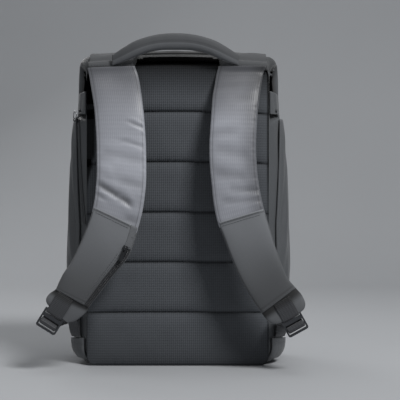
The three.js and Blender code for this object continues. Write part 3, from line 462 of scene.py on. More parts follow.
# Body: the cloth round the sides, the top and the base
BODY_HEIGHT, BODY_HALF_WIDTH, BODY_DEPTH = 441.0, 153.0, 132.0
BASE_CORNER, TOP_CORNER, TOP_ARCH = 24.0, 13.0, 7.0
PANEL_HALF_WIDTH, CLOTH, GAP, GUSSET_FOLD = 126.0, 2.2, 0.4, 18.0
POCKET_TOP, POCKET_FOOT = 346.0, 46.0
ROW_BACK = [0, 0.04, 0.1, 0.19, 0.245, 0.3, 0.44, 0.58, 0.7, 0.82, 0.9, 0.95]
ROW_FLARE = [0, 0.3, 0.62, 0.9, 0.955, 1, 1.02, 1, 0.93, 0.7, 0.35, -0.05]
ROW_RISE = [0.966, 0.982, 0.994, 1, 1, 1, 0.999, 0.997, 0.993, 0.984, 0.968, 0.947]
ROW_DROP = [0.006, 0.002, 0, 0, 0, 0, 0, 0, 0.004, 0.01, 0.024, 0.042]
SIDE_UP = [0, 0.08, 0.25, 0.45, 0.7, 0.82, 0.92, 1]
SIDE_WIDE = [0.955, 0.985, 1, 0.985, 0.965, 0.955, 0.94, 0.925]


def gusset_fold(back, up):
    """How far the side cloth folds in beside the panel, near the top."""
    along = smooth((back - 0.01) / 0.08) * smooth((0.27 - back) / 0.08)
    height = smooth((up - 0.803) / 0.015) * smooth((0.985 - up) / 0.06)
    return GUSSET_FOLD * along * height


def half_width(back, up):
    side = BODY_HALF_WIDTH * spline(SIDE_UP, SIDE_WIDE, up)
    flare = spline(ROW_BACK, ROW_FLARE, back)
    return lerp(PANEL_HALF_WIDTH, side, flare) - gusset_fold(back, up)


def outline():
    """Shares of the half width and of the height round the body, from the middle of the base."""
    places = []
    w, h = BODY_HALF_WIDTH, BODY_HEIGHT
    base, top = BASE_CORNER, TOP_CORNER
    for k in range(12):
        places.append((k / 12 * (w - base), 0))
    for k in range(10):
        a = -math.pi / 2 + k / 10 * math.pi / 2
        places.append((w - base + base * math.cos(a), base + base * math.sin(a)))
    for k in range(64):
        places.append((w, lerp(base, h - top, k / 64)))
    for k in range(10):
        a = k / 10 * math.pi / 2
        places.append((w - top + top * math.cos(a), h - top + top * math.sin(a)))
    for k in range(13):
        places.append(((1 - k / 12) * (w - top), h))
    half = np.array(places) / [w, h]
    mirrored = half[1:-1][::-1] * [-1, 1]
    return np.vstack([half, mirrored])


OUTLINE = outline()


def body_point(back, share, inset, keep=1.0):
    out, up = share[..., 0], share[..., 1]
    low = spline(ROW_BACK, ROW_DROP, back) * BODY_HEIGHT + inset
    high = spline(ROW_BACK, ROW_RISE, back) * BODY_HEIGHT - inset - TOP_ARCH * out**2
    x = out * (half_width(back, up) - inset)
    z = lerp(low, high, up)
    middle = BODY_HEIGHT / 2
    return stacked(x * keep, back * BODY_DEPTH, lerp(middle, z, keep))


side_ripples = Ripples(3, ((60, 160), (25, 60)))


def creased(back, share):
    """How far the cloth stands in from its smooth shape: soft folds, shallow at the base and the top."""
    u = share[..., 1] * BODY_HEIGHT
    v = back * BODY_DEPTH
    free = smooth((back - 0.06) / 0.1) * smooth((0.72 - back) / 0.1)
    calm = smooth((u - 12) / 50)
    calm = calm * (1 - 0.8 * smooth((u - 405) / 25))
    return 0.9 * free * calm * (1 + side_ripples(u, v))


def side_place(sign, back, z, lift):
    """A point on the side cloth, or lifted off it."""
    back = np.asarray(back, float)
    z = np.asarray(z, float) + 0 * back
    low = spline(ROW_BACK, ROW_DROP, back) * BODY_HEIGHT
    high = spline(ROW_BACK, ROW_RISE, back) * BODY_HEIGHT - TOP_ARCH
    up = (z - low) / (high - low)
    nominal = up * BODY_HEIGHT
    cut = np.maximum(BASE_CORNER - nominal, nominal - (BODY_HEIGHT - TOP_CORNER))
    cut = np.maximum(0, cut)
    radius = np.where(nominal < BASE_CORNER, BASE_CORNER, TOP_CORNER)
    out = (BODY_HALF_WIDTH - radius + np.sqrt(np.maximum(0, radius**2 - cut**2))) / BODY_HALF_WIDTH
    here = half_width(back, up)
    ahead = half_width(back + 0.01, up)
    slope = unit(stacked(ahead - here, np.full_like(here, 0.01 * BODY_DEPTH)))
    x = out * here
    return stacked(sign * (x + slope[..., 1] * lift), back * BODY_DEPTH - slope[..., 0] * lift, z)


def build_band():
    backs = np.concatenate([np.linspace(0, 0.34, 30), np.linspace(0.36, 0.7, 18)])
    outer = np.array([body_point(b, OUTLINE, creased(b, OUTLINE)) for b in backs])
    inner = np.array([body_point(b, OUTLINE, creased(b, OUTLINE) + CLOTH) for b in backs[::-6]])
    sections = np.concatenate([outer, inner, outer[:1]]).transpose(1, 0, 2)
    closed = sections[:, :-1]
    around = lengths(np.concatenate([outer[20], outer[20][:1]]))
    across = lengths(np.concatenate([closed[30], closed[30][:1]]))
    uv = metre_uv(across, around)
    tone = np.ones(closed.shape[:2])
    for column, back in enumerate(backs):
        # Painted shade: near black in the gusset fold, and the painted shadow of the handle on the top
        # behind the notch. The cloth is also darker towards the top.
        tone[:, column] -= 0.96 * smooth(gusset_fold(back, OUTLINE[:, 1]) / (0.45 * GUSSET_FOLD))
        tone[:, column] *= lerp(1, 0.45, smooth((OUTLINE[:, 1] - 0.93) / 0.05))
        handle_shadow = smooth((66 - np.abs(closed[:, column, 0])) / 8) * (OUTLINE[:, 1] > 0.9)
        tone[:, column] *= 1 - 0.8 * handle_shadow * smooth((0.15 - back) / 0.12)
    piece = tube("bag_sides", closed, uv, "side", "side_cloth", loop=True, nodes=("body_band",), tone=tone)
    paint_recess_shadow(piece)


def build_front():
    backs = [0.73, 0.76, 0.8, 0.84, 0.87, 0.9, 0.92, 0.935, 0.947]
    keeps = np.linspace(1, 0.0, 22)[1:-1]
    rings = [body_point(b, OUTLINE, 0) for b in backs]
    rim = body_point(0.95, OUTLINE, 0)
    ripples = Ripples(11, ((90, 200), (90, 220)))
    for keep in keeps:
        ring = rim.copy()
        ring[:, 0] *= keep
        ring[:, 2] = lerp(BODY_HEIGHT / 2, ring[:, 2], keep)
        ring[:, 1] = BODY_DEPTH * (0.95 + 0.045 * (1 - keep**2) ** 0.8)
        ring[:, 1] -= 0.7 * (1 - keep) * (1 + ripples(ring[:, 0], ring[:, 2]))
        rings.append(ring)
    rings = np.array(rings)
    inside = rings[::-3].copy()
    inside[:, :, 1] -= CLOTH
    scale = 1 - CLOTH / BODY_HALF_WIDTH
    inside[:, :, 0] *= scale
    inside[:, :, 2] = lerp(BODY_HEIGHT / 2, inside[:, :, 2], 1 - 2 * CLOTH / BODY_HEIGHT)
    tip = np.array([0, BODY_DEPTH * 0.994, BODY_HEIGHT / 2])
    count = len(OUTLINE)
    points = np.vstack([rings.reshape(-1, 3), [tip], inside.reshape(-1, 3), [tip - [0, CLOTH, 0]]])
    faces, corners = quads(len(rings), count, 0, True)
    last = (len(rings) - 1) * count
    top = len(rings) * count
    faces += [[last + k, last + (k + 1) % count, top] for k in range(count)]
    inner_start = top + 1
    more, _ = quads(len(inside), count, inner_start, True)
    faces += more
    faces += [[inner_start + (k + 1) % count, inner_start + k, len(points) - 1] for k in range(count)]
    rim_start = inner_start + (len(inside) - 1) * count
    faces += [[rim_start + k, rim_start + (k + 1) % count, (k + 1) % count, k] for k in range(count)]
    uv_of = [[(points[v][0] * 0.001, points[v][2] * 0.001) for v in face] for face in faces]
    faces, uvs = outward(points, faces, uv_of)
    make("bag_front", points, faces, uvs, "side", "side_cloth", nodes=("front_panel",))


def build_piping():
    back = 0.715
    ring = body_point(back, OUTLINE, 1.1)
    out = unit(ring - body_point(back, OUTLINE, 6.0))
    angles = np.arange(8) / 8 * 2 * math.pi
    depth = np.array([0, 1.0, 0])
    sections = np.array([
        [ring[k] + 2.0 * (out[k] * math.cos(a)) + 1.5 * depth * math.sin(a) for a in angles]
        for k in range(len(ring))
    ])
    around = lengths(np.vstack([ring, ring[:1]]))
    uv = metre_uv(np.arange(9) * 1.6, around)
    tube("bag_piping", sections, uv, "side", "side_cloth", loop=True, nodes=("front_piping",))


# Back panel: a pad with sewn rows
PANEL_FOOT, PANEL_TOP, PANEL_CORNER = 0.8, 420.6, 14.0
PANEL_THICKNESS, PANEL_EDGE = 11.0, 5.0
SEAMS = [74.8, 144.7, 214.0, 284.3, 354.2]
panel_ripples = Ripples(21, ((50, 120), (60, 150)))
seam_puckers = Ripples(22, ((8, 15), (400, 900)))


def panel_height(x, z):
    """Thickness of the panel at a place."""
    edges = np.array([PANEL_FOOT, *SEAMS, PANEL_TOP])
    k = np.clip(np.searchsorted(edges, z, side="right") - 1, 0, len(edges) - 2)
    within = (z - edges[k]) / (edges[k + 1] - edges[k])
    pillow = (1 - np.abs(2 * within - 1) ** 4.5) ** 0.6
    near = np.minimum(z - edges[k], edges[k + 1] - z)
    inside = np.clip(1 - np.abs(x / (PANEL_HALF_WIDTH + 1)) ** 14, 0, 1)
    puckers = 0.35 * seam_puckers(x, z) * np.exp(-near / 6.0) * (1 - np.exp(-near / 1.5))
    loose = 0.35 * panel_ripples(x, z) * np.clip(near / 25, 0, 1)
    full = PANEL_THICKNESS - PANEL_EDGE
    return PANEL_EDGE + full * pillow * inside + (puckers + loose) * inside


def build_panel():
    heights = []
    edges = [PANEL_FOOT, *SEAMS, PANEL_TOP]
    for low, high in zip(edges, edges[1:]):
        steps = [0, 0.012, 0.03, 0.06, 0.1, *np.linspace(0.16, 0.84, 14), 0.9, 0.94, 0.97, 0.988]
        heights += [lerp(low, high, s) for s in steps]
    heights = np.array([*heights, PANEL_TOP])
    rim = np.array([0.95, 0.97, 0.985, 0.995, 1])
    columns = np.concatenate([-rim[::-1], np.linspace(-0.92, 0.92, 85), rim])
    z = heights[:, None] + 0 * columns
    cut = np.maximum(0, np.maximum(PANEL_CORNER - z, z - (PANEL_TOP - PANEL_CORNER)))
    width = PANEL_HALF_WIDTH + 1 - PANEL_CORNER + np.sqrt(np.maximum(0, PANEL_CORNER**2 - cut**2))
    x = columns * width
    arch = z * (1 - (TOP_ARCH / 420) * (x / BODY_HALF_WIDTH) ** 2)
    thick = panel_height(x, z)
    front = stacked(x, -GAP - thick, arch)
    back = stacked(x, -GAP, arch)
    seam_near = np.min(np.abs(z[..., None] - np.array(SEAMS)), axis=-1)
    tone = 1 - 0.55 * hill(seam_near, 0, 1.6)
    # Painted shadow along the panel's side borders, wider and darker on the left side's upper part where
    # the left strap's shadow falls, and painted shadow under the handle and the yoke, near black at the
    # top. The panel is also darker towards the bottom.
    shadow_border = np.where(x < 0, lerp(2.5, 14.0, smooth((z - 245) / 65)), 4.0)
    tone *= 1 - lerp(0.5, 0.9, smooth((z - 220) / 60)) * smooth((np.abs(x) - (width - shadow_border)) / 3)
    tone *= lerp(0.03, 1, np.clip((PANEL_TOP - z) / 50, 0, 1) ** 0.9) * lerp(0.72, 1, smooth(z / 75))
    uv = stacked(x, arch) * 0.001
    piece = slab("quilted_panel", front, back, uv.tolist(), "panel", "panel_cloth",
                 nodes=("back_panel",), tone=tone)
    paint_recess_shadow(piece)
    chunks = []
    for seam in SEAMS:
        xs = np.linspace(-118, 118, 60)
        path = stacked(xs, -GAP - panel_height(xs, seam + 0 * xs), seam)
        path[:, 2] *= 1 - (TOP_ARCH / 420) * (xs / BODY_HALF_WIDTH) ** 2
        chunks += stitch_line(path, np.tile(TOWARDS, (60, 1)), 3.2, 1.4, 0.4)
    join_meshes("panel_stitches", chunks, "thread", "panel_cloth")


build_band()
build_front()
build_piping()
build_panel()

# Yoke over the top edge, cut back in a notch under the handle
YOKE_HALF_WIDTH, YOKE_NOTCH, YOKE_CLOTH = 124.0, 54.0, 1.6
YOKE_FACE = GAP + PANEL_THICKNESS + GAP
YOKE_FOOT = 411.0
NOTCH_BACK = 0.085


def top_at(x, back):
    return spline(ROW_BACK, ROW_RISE, back) * BODY_HEIGHT - TOP_ARCH * (x / BODY_HALF_WIDTH) ** 2


yoke_ripples = Ripples(31, ((30, 70), (20, 60)))


def yoke_line(x, offset):
    """The yoke's path over the top at one place across, from its rear edge to its foot."""
    notch = smooth((abs(x) - YOKE_NOTCH) / (YOKE_NOTCH / 6))
    crown = np.array([0.3, 0.25, 0.19, 0.14, 0.1, 0.07, 0.04, 0.0])
    crown = lerp(NOTCH_BACK + crown * (1 - NOTCH_BACK / 0.3), crown, notch)
    points = [np.array([x, b * BODY_DEPTH, top_at(x, b) + offset]) for b in crown]
    _, lip_y, lip_z = points[-1]
    reach = YOKE_FACE + offset - GAP
    half_down = lerp(lip_z, YOKE_FOOT, 0.4)
    lips = ((0.5, 0.7, 0.5, lip_z - 0.5), (0.8, 1.0, 1.2, half_down), (0.9, 1.0, 2.0, YOKE_FOOT))
    for share, far, drop, low in lips:
        y = lerp(lip_y - share * offset, -reach * far, notch)
        points.append(np.array([x, y, lerp(lip_z - drop, low, notch)]))
    points = np.array(points)
    fine = spline(lengths(points), points, np.linspace(0, lengths(points)[-1], 34))
    ends = smooth(np.linspace(0, 8, 34)) * smooth((34 - np.arange(34)) / 6)
    swell = 0.35 * (1 + yoke_ripples(x, lengths(fine))) * ends
    fine[:, 2] += swell * (fine[:, 1] > -2) * (offset > 1)
    return fine


def build_yoke():
    xs = np.linspace(-YOKE_HALF_WIDTH, YOKE_HALF_WIDTH, 150)
    top = np.array([yoke_line(x, GAP + YOKE_CLOTH) for x in xs]).transpose(1, 0, 2)
    under = np.array([yoke_line(x, GAP) for x in xs]).transpose(1, 0, 2)
    along = lengths(top[:, 10])
    uv = metre_uv(xs, along)
    notch = smooth((YOKE_NOTCH + 9 - np.abs(xs)) / 9)
    # Half as light all over, with the painted shadow of the handle over the notch and painted shade along
    # the foot.
    tone = 0.5 * (1 - 0.7 * notch * smooth((np.arange(len(along))[:, None] - 12) / 20))
    tone[-3:] *= 0.7
    slab("yoke", top, under, uv, "matte", "matte_cloth", nodes=("top_yoke",), tone=tone)
    chunks = []
    for sign in (-1, 1):
        side = [k for k, x in enumerate(xs) if x * sign > YOKE_NOTCH + 12]
        line = top[-4][side]
        chunks += stitch_line(line, np.tile(TOWARDS, (len(side), 1)))
    join_meshes("yoke_stitches", chunks, "thread", "matte_cloth")


# Carry handle: a padded arch sewn flat to the yoke at its two tips
HANDLE_SPAN, HANDLE_SHIFT, HANDLE_RISE, HANDLE_TIP = 175.0, -3.0, 26.5, 424.5
HANDLE_TALL, HANDLE_DEEP = 21.0, 15.0
HANDLE_FACE = YOKE_FACE + YOKE_CLOTH + GAP
HANDLE_AT = [0, 0.1, 0.17, 0.27, 0.36, 0.5]
HANDLE_LIFT = [0, 0.3, 0.52, 0.76, 0.89, 0.942]
HANDLE_TALLS = [0.7, 0.98, 1.07, 1.05, 1.06, 1.1]
HANDLE_DEEPS = [0.3, 0.72, 0.92, 1, 1, 1]


def mirrored(values):
    return [*values, *values[-2::-1]]


def build_handle():
    at = [*HANDLE_AT, *[1 - a for a in HANDLE_AT[-2::-1]]]
    rows = np.linspace(0, 1, 90)
    lift = spline(at, mirrored(HANDLE_LIFT), rows)
    tall = spline(at, mirrored(HANDLE_TALLS), rows) * HANDLE_TALL
    deep = spline(at, mirrored(HANDLE_DEEPS), rows) * HANDLE_DEEP
    xs = HANDLE_SHIFT + (rows - 0.5) * HANDLE_SPAN
    path = stacked(xs, -HANDLE_FACE - deep / 2, HANDLE_TIP + HANDLE_RISE * lift)
    count = 48
    u, v = rounded(count, 0.8, 0.8)
    seam = hill(u, -0.08, 0.07) * (v > 0)
    welt = hill(u, 0.06, 0.09) * (v > 0)
    ripples = Ripples(41, ((12, 26), (60, 200)))
    sections = []
    for k, row in enumerate(rows):
        swell = 1 - 0.1 * seam + 0.05 * welt + 0.012 * ripples(row * HANDLE_SPAN, u * 8)
        points = path[k] + UPWARD * (u * tall[k] / 2)[:, None]
        sections.append(points + TOWARDS * (v * swell * deep[k] / 2)[:, None])
    tone = np.tile((1 - 0.45 * seam) * np.where(u > -0.02, 0.58, 0.88), (len(rows), 1))
    uv = metre_uv(np.linspace(0, 58, count + 1), lengths(path))
    piece = tube("padded_handle", np.array(sections), uv, "matte", "matte_cloth",
                 nodes=("carry_handle",), tone=tone)


build_yoke()
build_handle()

# Shoulder straps. Each row is the outer and the inner edge as pixels of the photograph.
STRAP_TOP, STRAP_DROP, STRAP_STAND_OFF, STRAP_THICKNESS = 410.2, 332.0, 52.0, 12.0
STRAP_SQUARENESS = 3.4
STRAP_ROOT_DEPTH = YOKE_FACE + 0.17 * STRAP_THICKNESS
OFF_DOWN = [0, 0.016, 0.06, 0.129, 0.195, 0.314, 0.416, 0.518, 0.614, 0.716, 0.8, 0.885, 0.949, 1.0]
OFF_SHARE = [0, 0.01, 0.15, 0.36, 0.5, 0.64, 0.73, 0.8, 0.86, 0.92, 0.96, 0.99, 1, 1]
THICK_SHARE = [0.34, 0.45, 0.8, 1, 1, 1, 1, 1, 1, 1, 1, 0.95, 0.85, 0.5]
LEFT_EDGES = [
    (87.5, 68, 134.8, 66), (89.4, 77, 138.3, 76), (92, 93, 141.5, 94), (94.5, 110, 143.5, 110),
    (95.8, 126, 145, 127), (96.6, 142, 146, 145), (96.8, 158, 146.3, 163), (96.8, 174, 146.2, 181),
    (95.8, 188, 144.8, 197), (94.5, 200, 142.2, 213), (91.5, 214, 138, 229), (86.5, 228.5, 134, 243),
    (79.5, 245, 128, 257.5), (71.5, 261.5, 118, 270), (64, 272.5, 107.5, 283), (59.5, 281, 98.5, 295),
    (55.7, 289, 89.2, 307), (49.5, 293.5, 86.6, 311.5), (46.3, 298.5, 81.5, 316.5), (46.8, 303, 75, 321),
    (49.5, 306.5, 68, 323),
]
RIGHT_EDGES = [
    (266, 66, 218.6, 66), (263.2, 74, 216.5, 74), (261.3, 85, 214.5, 86), (259.5, 97, 212.5, 98),
    (257.7, 113, 211.4, 112), (256.5, 130, 210.3, 128), (256, 148, 209.3, 146), (256.8, 166, 209.8, 165),
    (258.5, 182, 211.7, 186), (261, 196, 214, 206), (264, 209, 217.8, 223), (268.5, 224, 223.3, 237),
    (272.7, 238, 229.3, 253), (277.5, 253, 236, 269), (282, 265.5, 243.2, 284), (286.8, 277, 252.2, 299.5),
    (295.5, 287.5, 261.5, 313), (301.8, 295, 266, 319), (305.2, 303, 270.5, 323), (304, 309, 277, 324),
    (299.5, 312.5, 283, 321.5),
]
HEM_ROW, END_ROW = 16, 20
SIDES = {"left": -1, "right": 1}


class Strap:
    """The middle line, the width and the directions of a strap, at any row."""

    def __init__(self, name, edges):
        self.name = name
        self.sign = SIDES[name]
        rows = np.arange(len(edges))
        outer, inner, thick = [], [], []
        for ox, oy, ix, iy in edges:
            depth = -STRAP_ROOT_DEPTH
            for _ in range(4):
                z = photo(0, (oy + iy) / 2, depth)[2]
                down = (STRAP_TOP - z) / STRAP_DROP
                depth = -(STRAP_ROOT_DEPTH + STRAP_STAND_OFF * float(spline(OFF_DOWN, OFF_SHARE, down)))
            outer.append(photo(ox, oy, depth))
            inner.append(photo(ix, iy, depth))
            thick.append(STRAP_THICKNESS * float(spline(OFF_DOWN, THICK_SHARE, min(down, 0.93))))
        self.rows = rows
        self.outer = np.array(outer)
        self.inner = np.array(inner)
        self.thick = np.array(thick)

    def middle(self, row):
        return (spline(self.rows, self.outer, row) + spline(self.rows, self.inner, row)) / 2

    def at(self, row):
        row = np.asarray(row, float)
        outer = spline(self.rows, self.outer, row)
        inner = spline(self.rows, self.inner, row)
        step = 0.05
        along = unit(self.middle(row + step) - self.middle(row - step))
        across = unit(outer - inner)
        out = unit(np.cross(across, along))
        out = np.where(out[..., 1:2] > 0, -out, out)
        width = np.linalg.norm(outer - inner, axis=-1)
        thick = spline(self.rows, self.thick, row)
        end = 1 - 0.45 * smooth((row - 17.5) / 2.5)
        return (outer + inner) / 2, along, across, out, width, thick * end


STRAPS = {"left": Strap("left", LEFT_EDGES), "right": Strap("right", RIGHT_EDGES)}

# Creases of the upper cloth: row at the middle, tilt, reach across from and to, depth and width in rows
CREASES = {
    "left": [
        (3.58, -1.1, -1.1, -0.2, 0.6, 0.13), (4.8, -0.8, -1.1, 0.2, 0.35, 0.15),
        (5.75, -0.4, -1.1, 0.9, 0.3, 0.3), (6.8, -0.5, 0.2, 1.1, -0.5, 0.35),
        (8.32, -1.36, -0.7, 1.1, 1.2, 0.3), (9.0, -1.0, 0.4, 1.1, 0.6, 0.2),
        (9.5, -0.3, -1.1, -0.2, 0.6, 0.32), (7.2, -0.4, -1.1, 0.3, 0.35, 0.3),
    ],
    "right": [
        (3.2, -0.3, -0.2, 1.1, 0.22, 0.3), (5.2, -0.35, -1.1, 0.3, 0.3, 0.3),
        (7.6, 0.6, -1.1, 0.6, 0.45, 0.34), (8.3, 0.7, -0.4, 1.1, 0.5, 0.3),
        (6.3, 0.4, -0.9, 0.8, 0.25, 0.34), (2.2, -0.2, -1.1, 0.2, 0.15, 0.3),
        (9.0, 0.5, -0.8, 1.1, 0.35, 0.24),
    ],
}


def crease_depth(name, row, across):
    """Depth of the creases at a place of a strap, whose outer edge is at 1 across and inner edge at -1."""
    total = 0 * row
    for middle, slant, start, end, deep, wide in CREASES[name]:
        line = middle + slant * across * 0.5
        reach = smooth((across - start) / 0.35) * smooth((end - across) / 0.35)
        off = (row - line) / wide
        ridge = 0.5 * hill(off, 1.5, 1) + 0.35 * hill(off, -1.6, 1)
        total = total + 1.9 * deep * reach * (hill(off, 0, 1) - ridge)
    puckers = hill(np.abs(across), 1, 0.16) * np.sin(row * 11 + 2 * np.sin(row * 3.1))
    return total + 0.22 * puckers * smooth((row - 1.5) / 2)


strap_ripples = Ripples(51, ((50, 130), (40, 110)))


def strap_front(strap, row, across, lift):
    """Points on the front face of a strap, lifted off its cloth."""
    place, _, side, out, width, thick = strap.at(row)
    crown = (1 - np.minimum(1, np.abs(across)) ** STRAP_SQUARENESS) ** (1 / STRAP_SQUARENESS)
    hollow = 0.35 * strap_ripples(across * 30, row * 16)
    height = thick / 2 * crown + hollow * crown + lift
    return place + side * (across * width / 2)[..., None] + out * height[..., None], out


SEAM_ROWS = {"left": (9.5, 9.95), "right": (10.02, 10.0)}
# Painted light and shade down each strap's upper cloth: rows, then shares
STRAP_PAINTED_LIGHT = {
    "left": ([0, 0.5, 1.5, 2.4, 3.6, 4.9, 6.1, 7.4, 20],
             [0.38, 0.41, 0.48, 0.71, 1.0, 1.18, 1.28, 1.12, 1.1]),
    "right": ([0, 0.8, 2.4, 3.8, 4.7, 6.0, 20], [0.25, 0.28, 0.44, 0.73, 1.06, 1.02, 1.0]),
}


def seam_row(name, across):
    """Row of the slanting edge of the lower cloth, from the outer edge at 1 to the inner one at -1."""
    outer, inner = SEAM_ROWS[name]
    return lerp(inner, outer, (across + 1) / 2)


def build_strap(strap):
    name = strap.name
    rows = np.concatenate([np.linspace(0, 17, 236), np.linspace(17, END_ROW, 40)[1:]])
    count = 72
    place, _, side, out, width, thick = strap.at(rows)
    u, v = rounded(count, 2 / STRAP_SQUARENESS, 2 / STRAP_SQUARENESS)
    row_grid = rows[:, None] + 0 * u
    across = u + 0 * row_grid
    front = np.clip(v, 0, 1)
    upper = smooth((seam_row(name, across) - row_grid + 0.3) / 0.3)
    dent = crease_depth(name, row_grid, across) * front * upper
    ripple = 0.35 * strap_ripples(across * 30, row_grid * 16) * front
    edge_seam = 0.5 * hill(v, -0.25, 0.22) * (np.abs(u) > 0.9)
    half_w = (width / 2)[:, None] - edge_seam
    height = v * (thick / 2)[:, None] - dent + ripple
    points = place[:, None] + side[:, None] * (u * half_w)[..., None] + out[:, None] * height[..., None]
    around = lengths(points[60])
    around = np.append(around, around[-1] + 1)
    uv = metre_uv(around, lengths(place))
    # Painted light on the upper cloth: painted shade in the creases and painted highlights on their ridges,
    # painted shade on the strap's sides and back, painted light and shade down the strap, painted shade
    # toward the right strap's outer edge, and deep painted shade just below the hem. The dark lines near
    # the edges are the edge seams, and the lower cloth is darker.
    tone = np.ones_like(across) - 0.3 * np.clip(dent, -0.3, 2) - 0.25 * (edge_seam > 0.25)
    tone = tone * lerp(1.0, 0.62, smooth((0.15 - v) / 0.3) + 0 * row_grid)
    tone = tone * spline(*STRAP_PAINTED_LIGHT[name], row_grid)
    tone = tone * (1 - {"left": 0.1, "right": 0.55}[name] * smooth((across - 0.1) / 0.9))
    tone = tone * (1 - 0.4 * hill(np.abs(across), 0.87, 0.025))
    below = row_grid > seam_row(name, across) + 0.3
    tone = np.where(below, 0.75, tone)
    tone = np.where(row_grid > HEM_ROW, lerp(0.1, 0.9, smooth((row_grid - HEM_ROW - 0.35) / 1.0)), tone)
    piece = tube(f"{name}_pad", points, uv, "strap", "strap_cloth", nodes=(f"{name}_strap_pad",), tone=tone)
    piece.data.materials.append(MATERIALS["backing"])
    piece.data.materials.append(MATERIALS["lower"])
    for face in piece.data.polygons:
        ids = [k for k in face.vertices if k < below.size]
        if v[[k % count for k in ids]].mean() < -0.2:
            face.material_index = 1
        elif below.ravel()[ids].all():
            face.material_index = 2


def strap_sheet(strap, name, start, end, inner, outer, lift, thick, material, slot, nodes,
                rows=60, columns=40, tone=None):
    """A cloth on a strap's front. start gives the row of its upper edge at each place across."""
    a = np.linspace(inner, outer, columns)
    grid_a = np.tile(a, (rows, 1))
    t = np.linspace(0, 1, rows)[:, None]
    grid_row = start(grid_a) * (1 - t) + end * t
    front, _ = strap_front(strap, grid_row, grid_a, lift + thick)
    back, _ = strap_front(strap, grid_row, grid_a, lift)
    along = lengths(front[:, columns // 2])
    uv = metre_uv(lengths(front[rows // 2]), along)
    shade = np.ones((rows, columns)) if tone is None else tone(t + 0 * grid_a, grid_a)
    slab(name, front, back, uv, material, slot, nodes=nodes, tone=shade)


def pocket_painted_light(t, across):
    """Painted light on a lower cloth: painted highlights on its folded top edge and its hem, dark sewn
    lines near both, and painted light that falls off down the cloth.
    """
    edge = 0.5 * hill(t, 0, 0.008) + 0.3 * hill(t, 1, 0.012)
    sewn = 0.55 * hill(t, 0.024, 0.007) + 0.35 * hill(t, 0.955, 0.008)
    return lerp(1.38, 0.55, smooth(t * 1.1)) * (1 + edge - sewn)


def stitch_on(strap, rows, across, lift):
    path, outs = strap_front(strap, rows, across, lift)
    return stitch_line(path, outs)


def build_pockets():
    left, right = STRAPS["left"], STRAPS["right"]
    strap_sheet(left, "zip_pocket", lambda a: seam_row("left", a), HEM_ROW, -0.71, 0.955, 0.3, 1.3,
                "lower", "matte_cloth", ("left_zip_pocket",), rows=110, columns=48, tone=pocket_painted_light)
    strap_sheet(right, "card_pocket", lambda a: seam_row("right", a), HEM_ROW, -0.95, 0.955, 0.3, 1.3,
                "lower", "matte_cloth", ("right_card_pocket",), rows=110, columns=48, tone=pocket_painted_light)
    strap_sheet(left, "stitched_tab", lambda a: seam_row("left", a) + 0.02, 11.5, -0.975, -0.7, 0.4, 1.7,
                "lower", "matte_cloth", ("strap_loop_tab",), rows=14, columns=10)
    strap_sheet(left, "zip_tape", lambda a: 11.52 + 0 * a, HEM_ROW, -0.975, -0.73, 0.3, 0.7,
                "zip", "zip", ("strap_zip_tape",), rows=60, columns=8)
    chunks = []
    steps = np.linspace(11.9, HEM_ROW - 0.15, 70)
    for offset in (-0.64, -0.55):
        chunks += stitch_on(left, steps, np.full_like(steps, offset), 1.65)
    for strap in (left, right):
        a = np.linspace(-0.62 if strap is left else -0.88, 0.88, 30)
        for lift in (0.1, 0.3):
            chunks += stitch_on(strap, seam_row(strap.name, a) + lift, a, 1.65)
        chunks += stitch_on(strap, np.full_like(a, HEM_ROW - 0.12), a, 1.65)
    a = np.linspace(-0.95, -0.72, 8)
    for row in (10.7, 11.35):
        chunks += stitch_on(left, np.full_like(a, row), a, 2.15)
    join_meshes("strap_stitches", chunks, "thread", "matte_cloth")
    teeth = []
    rows = np.linspace(11.6, HEM_ROW - 0.05, 90)
    spots, outs = strap_front(left, rows, np.full_like(rows, -0.85), 1.0)
    _, _, side, _, _, _ = left.at(rows)
    for k in range(len(rows)):
        for half in (-1, 1):
            start = spots[k] + side[k] * half * 0.2 + outs[k] * 0.5
            teeth.append(capsule(start, start + side[k] * half * 1.9, outs[k], 0.5, 1.0))
    join_meshes("zip_teeth", teeth, "coil", "zip")


for strap in STRAPS.values():
    build_strap(strap)
build_pockets()

# Webbing through the buckles
WEBBING_WIDTH, WEBBING_THICKNESS = 24.0, 1.4
LOOP_RADIUS, LOWER_BAR, BUCKLE_REACH, WEBBING_SLACK = 3.7, 16.8, 5.8, 24.0
ANCHOR_FOOT, ANCHOR_HEIGHT, ANCHOR_CLOTH, ANCHOR_LIFT = 8.0, 38.0, 2.4, 1.6
POCKET_BULGE, POCKET_LIFT = 3.0, 0.9
ANCHOR_FROM, ANCHOR_TO, WEBBING_BACK = 0.02, 0.24, 0.1
BUCKLE_BAR = 3.0


def buckle_frame(name):
    """Middle of a buckle's top bar, and its directions outward and up.

    They come from its solid in the frame, a flat plate that is the same on both sides of its middle line.
    """
    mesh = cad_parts[f"{name}_buckle"].data
    corners = np.unique([list(vertex.co) for vertex in mesh.vertices], axis=0)
    corners = (corners - ORIGIN) * 1000
    middle = corners.mean(0)
    _, axes = np.linalg.eigh(np.cov((corners - middle).T))
    _, up, outer = axes.T
    up = up * np.sign(up[2])
    outer = outer * np.sign(outer[0]) * SIDES[name]
    top = np.max((corners - middle) @ up)
    return middle + up * (top - BUCKLE_BAR / 2), outer, up


BUCKLES = {name: buckle_frame(name) for name in SIDES}


def in_buckle(name, down, out, across=0.0):
    start, outer, up = BUCKLES[name]
    return start - up * down + TOWARDS * out + outer * across


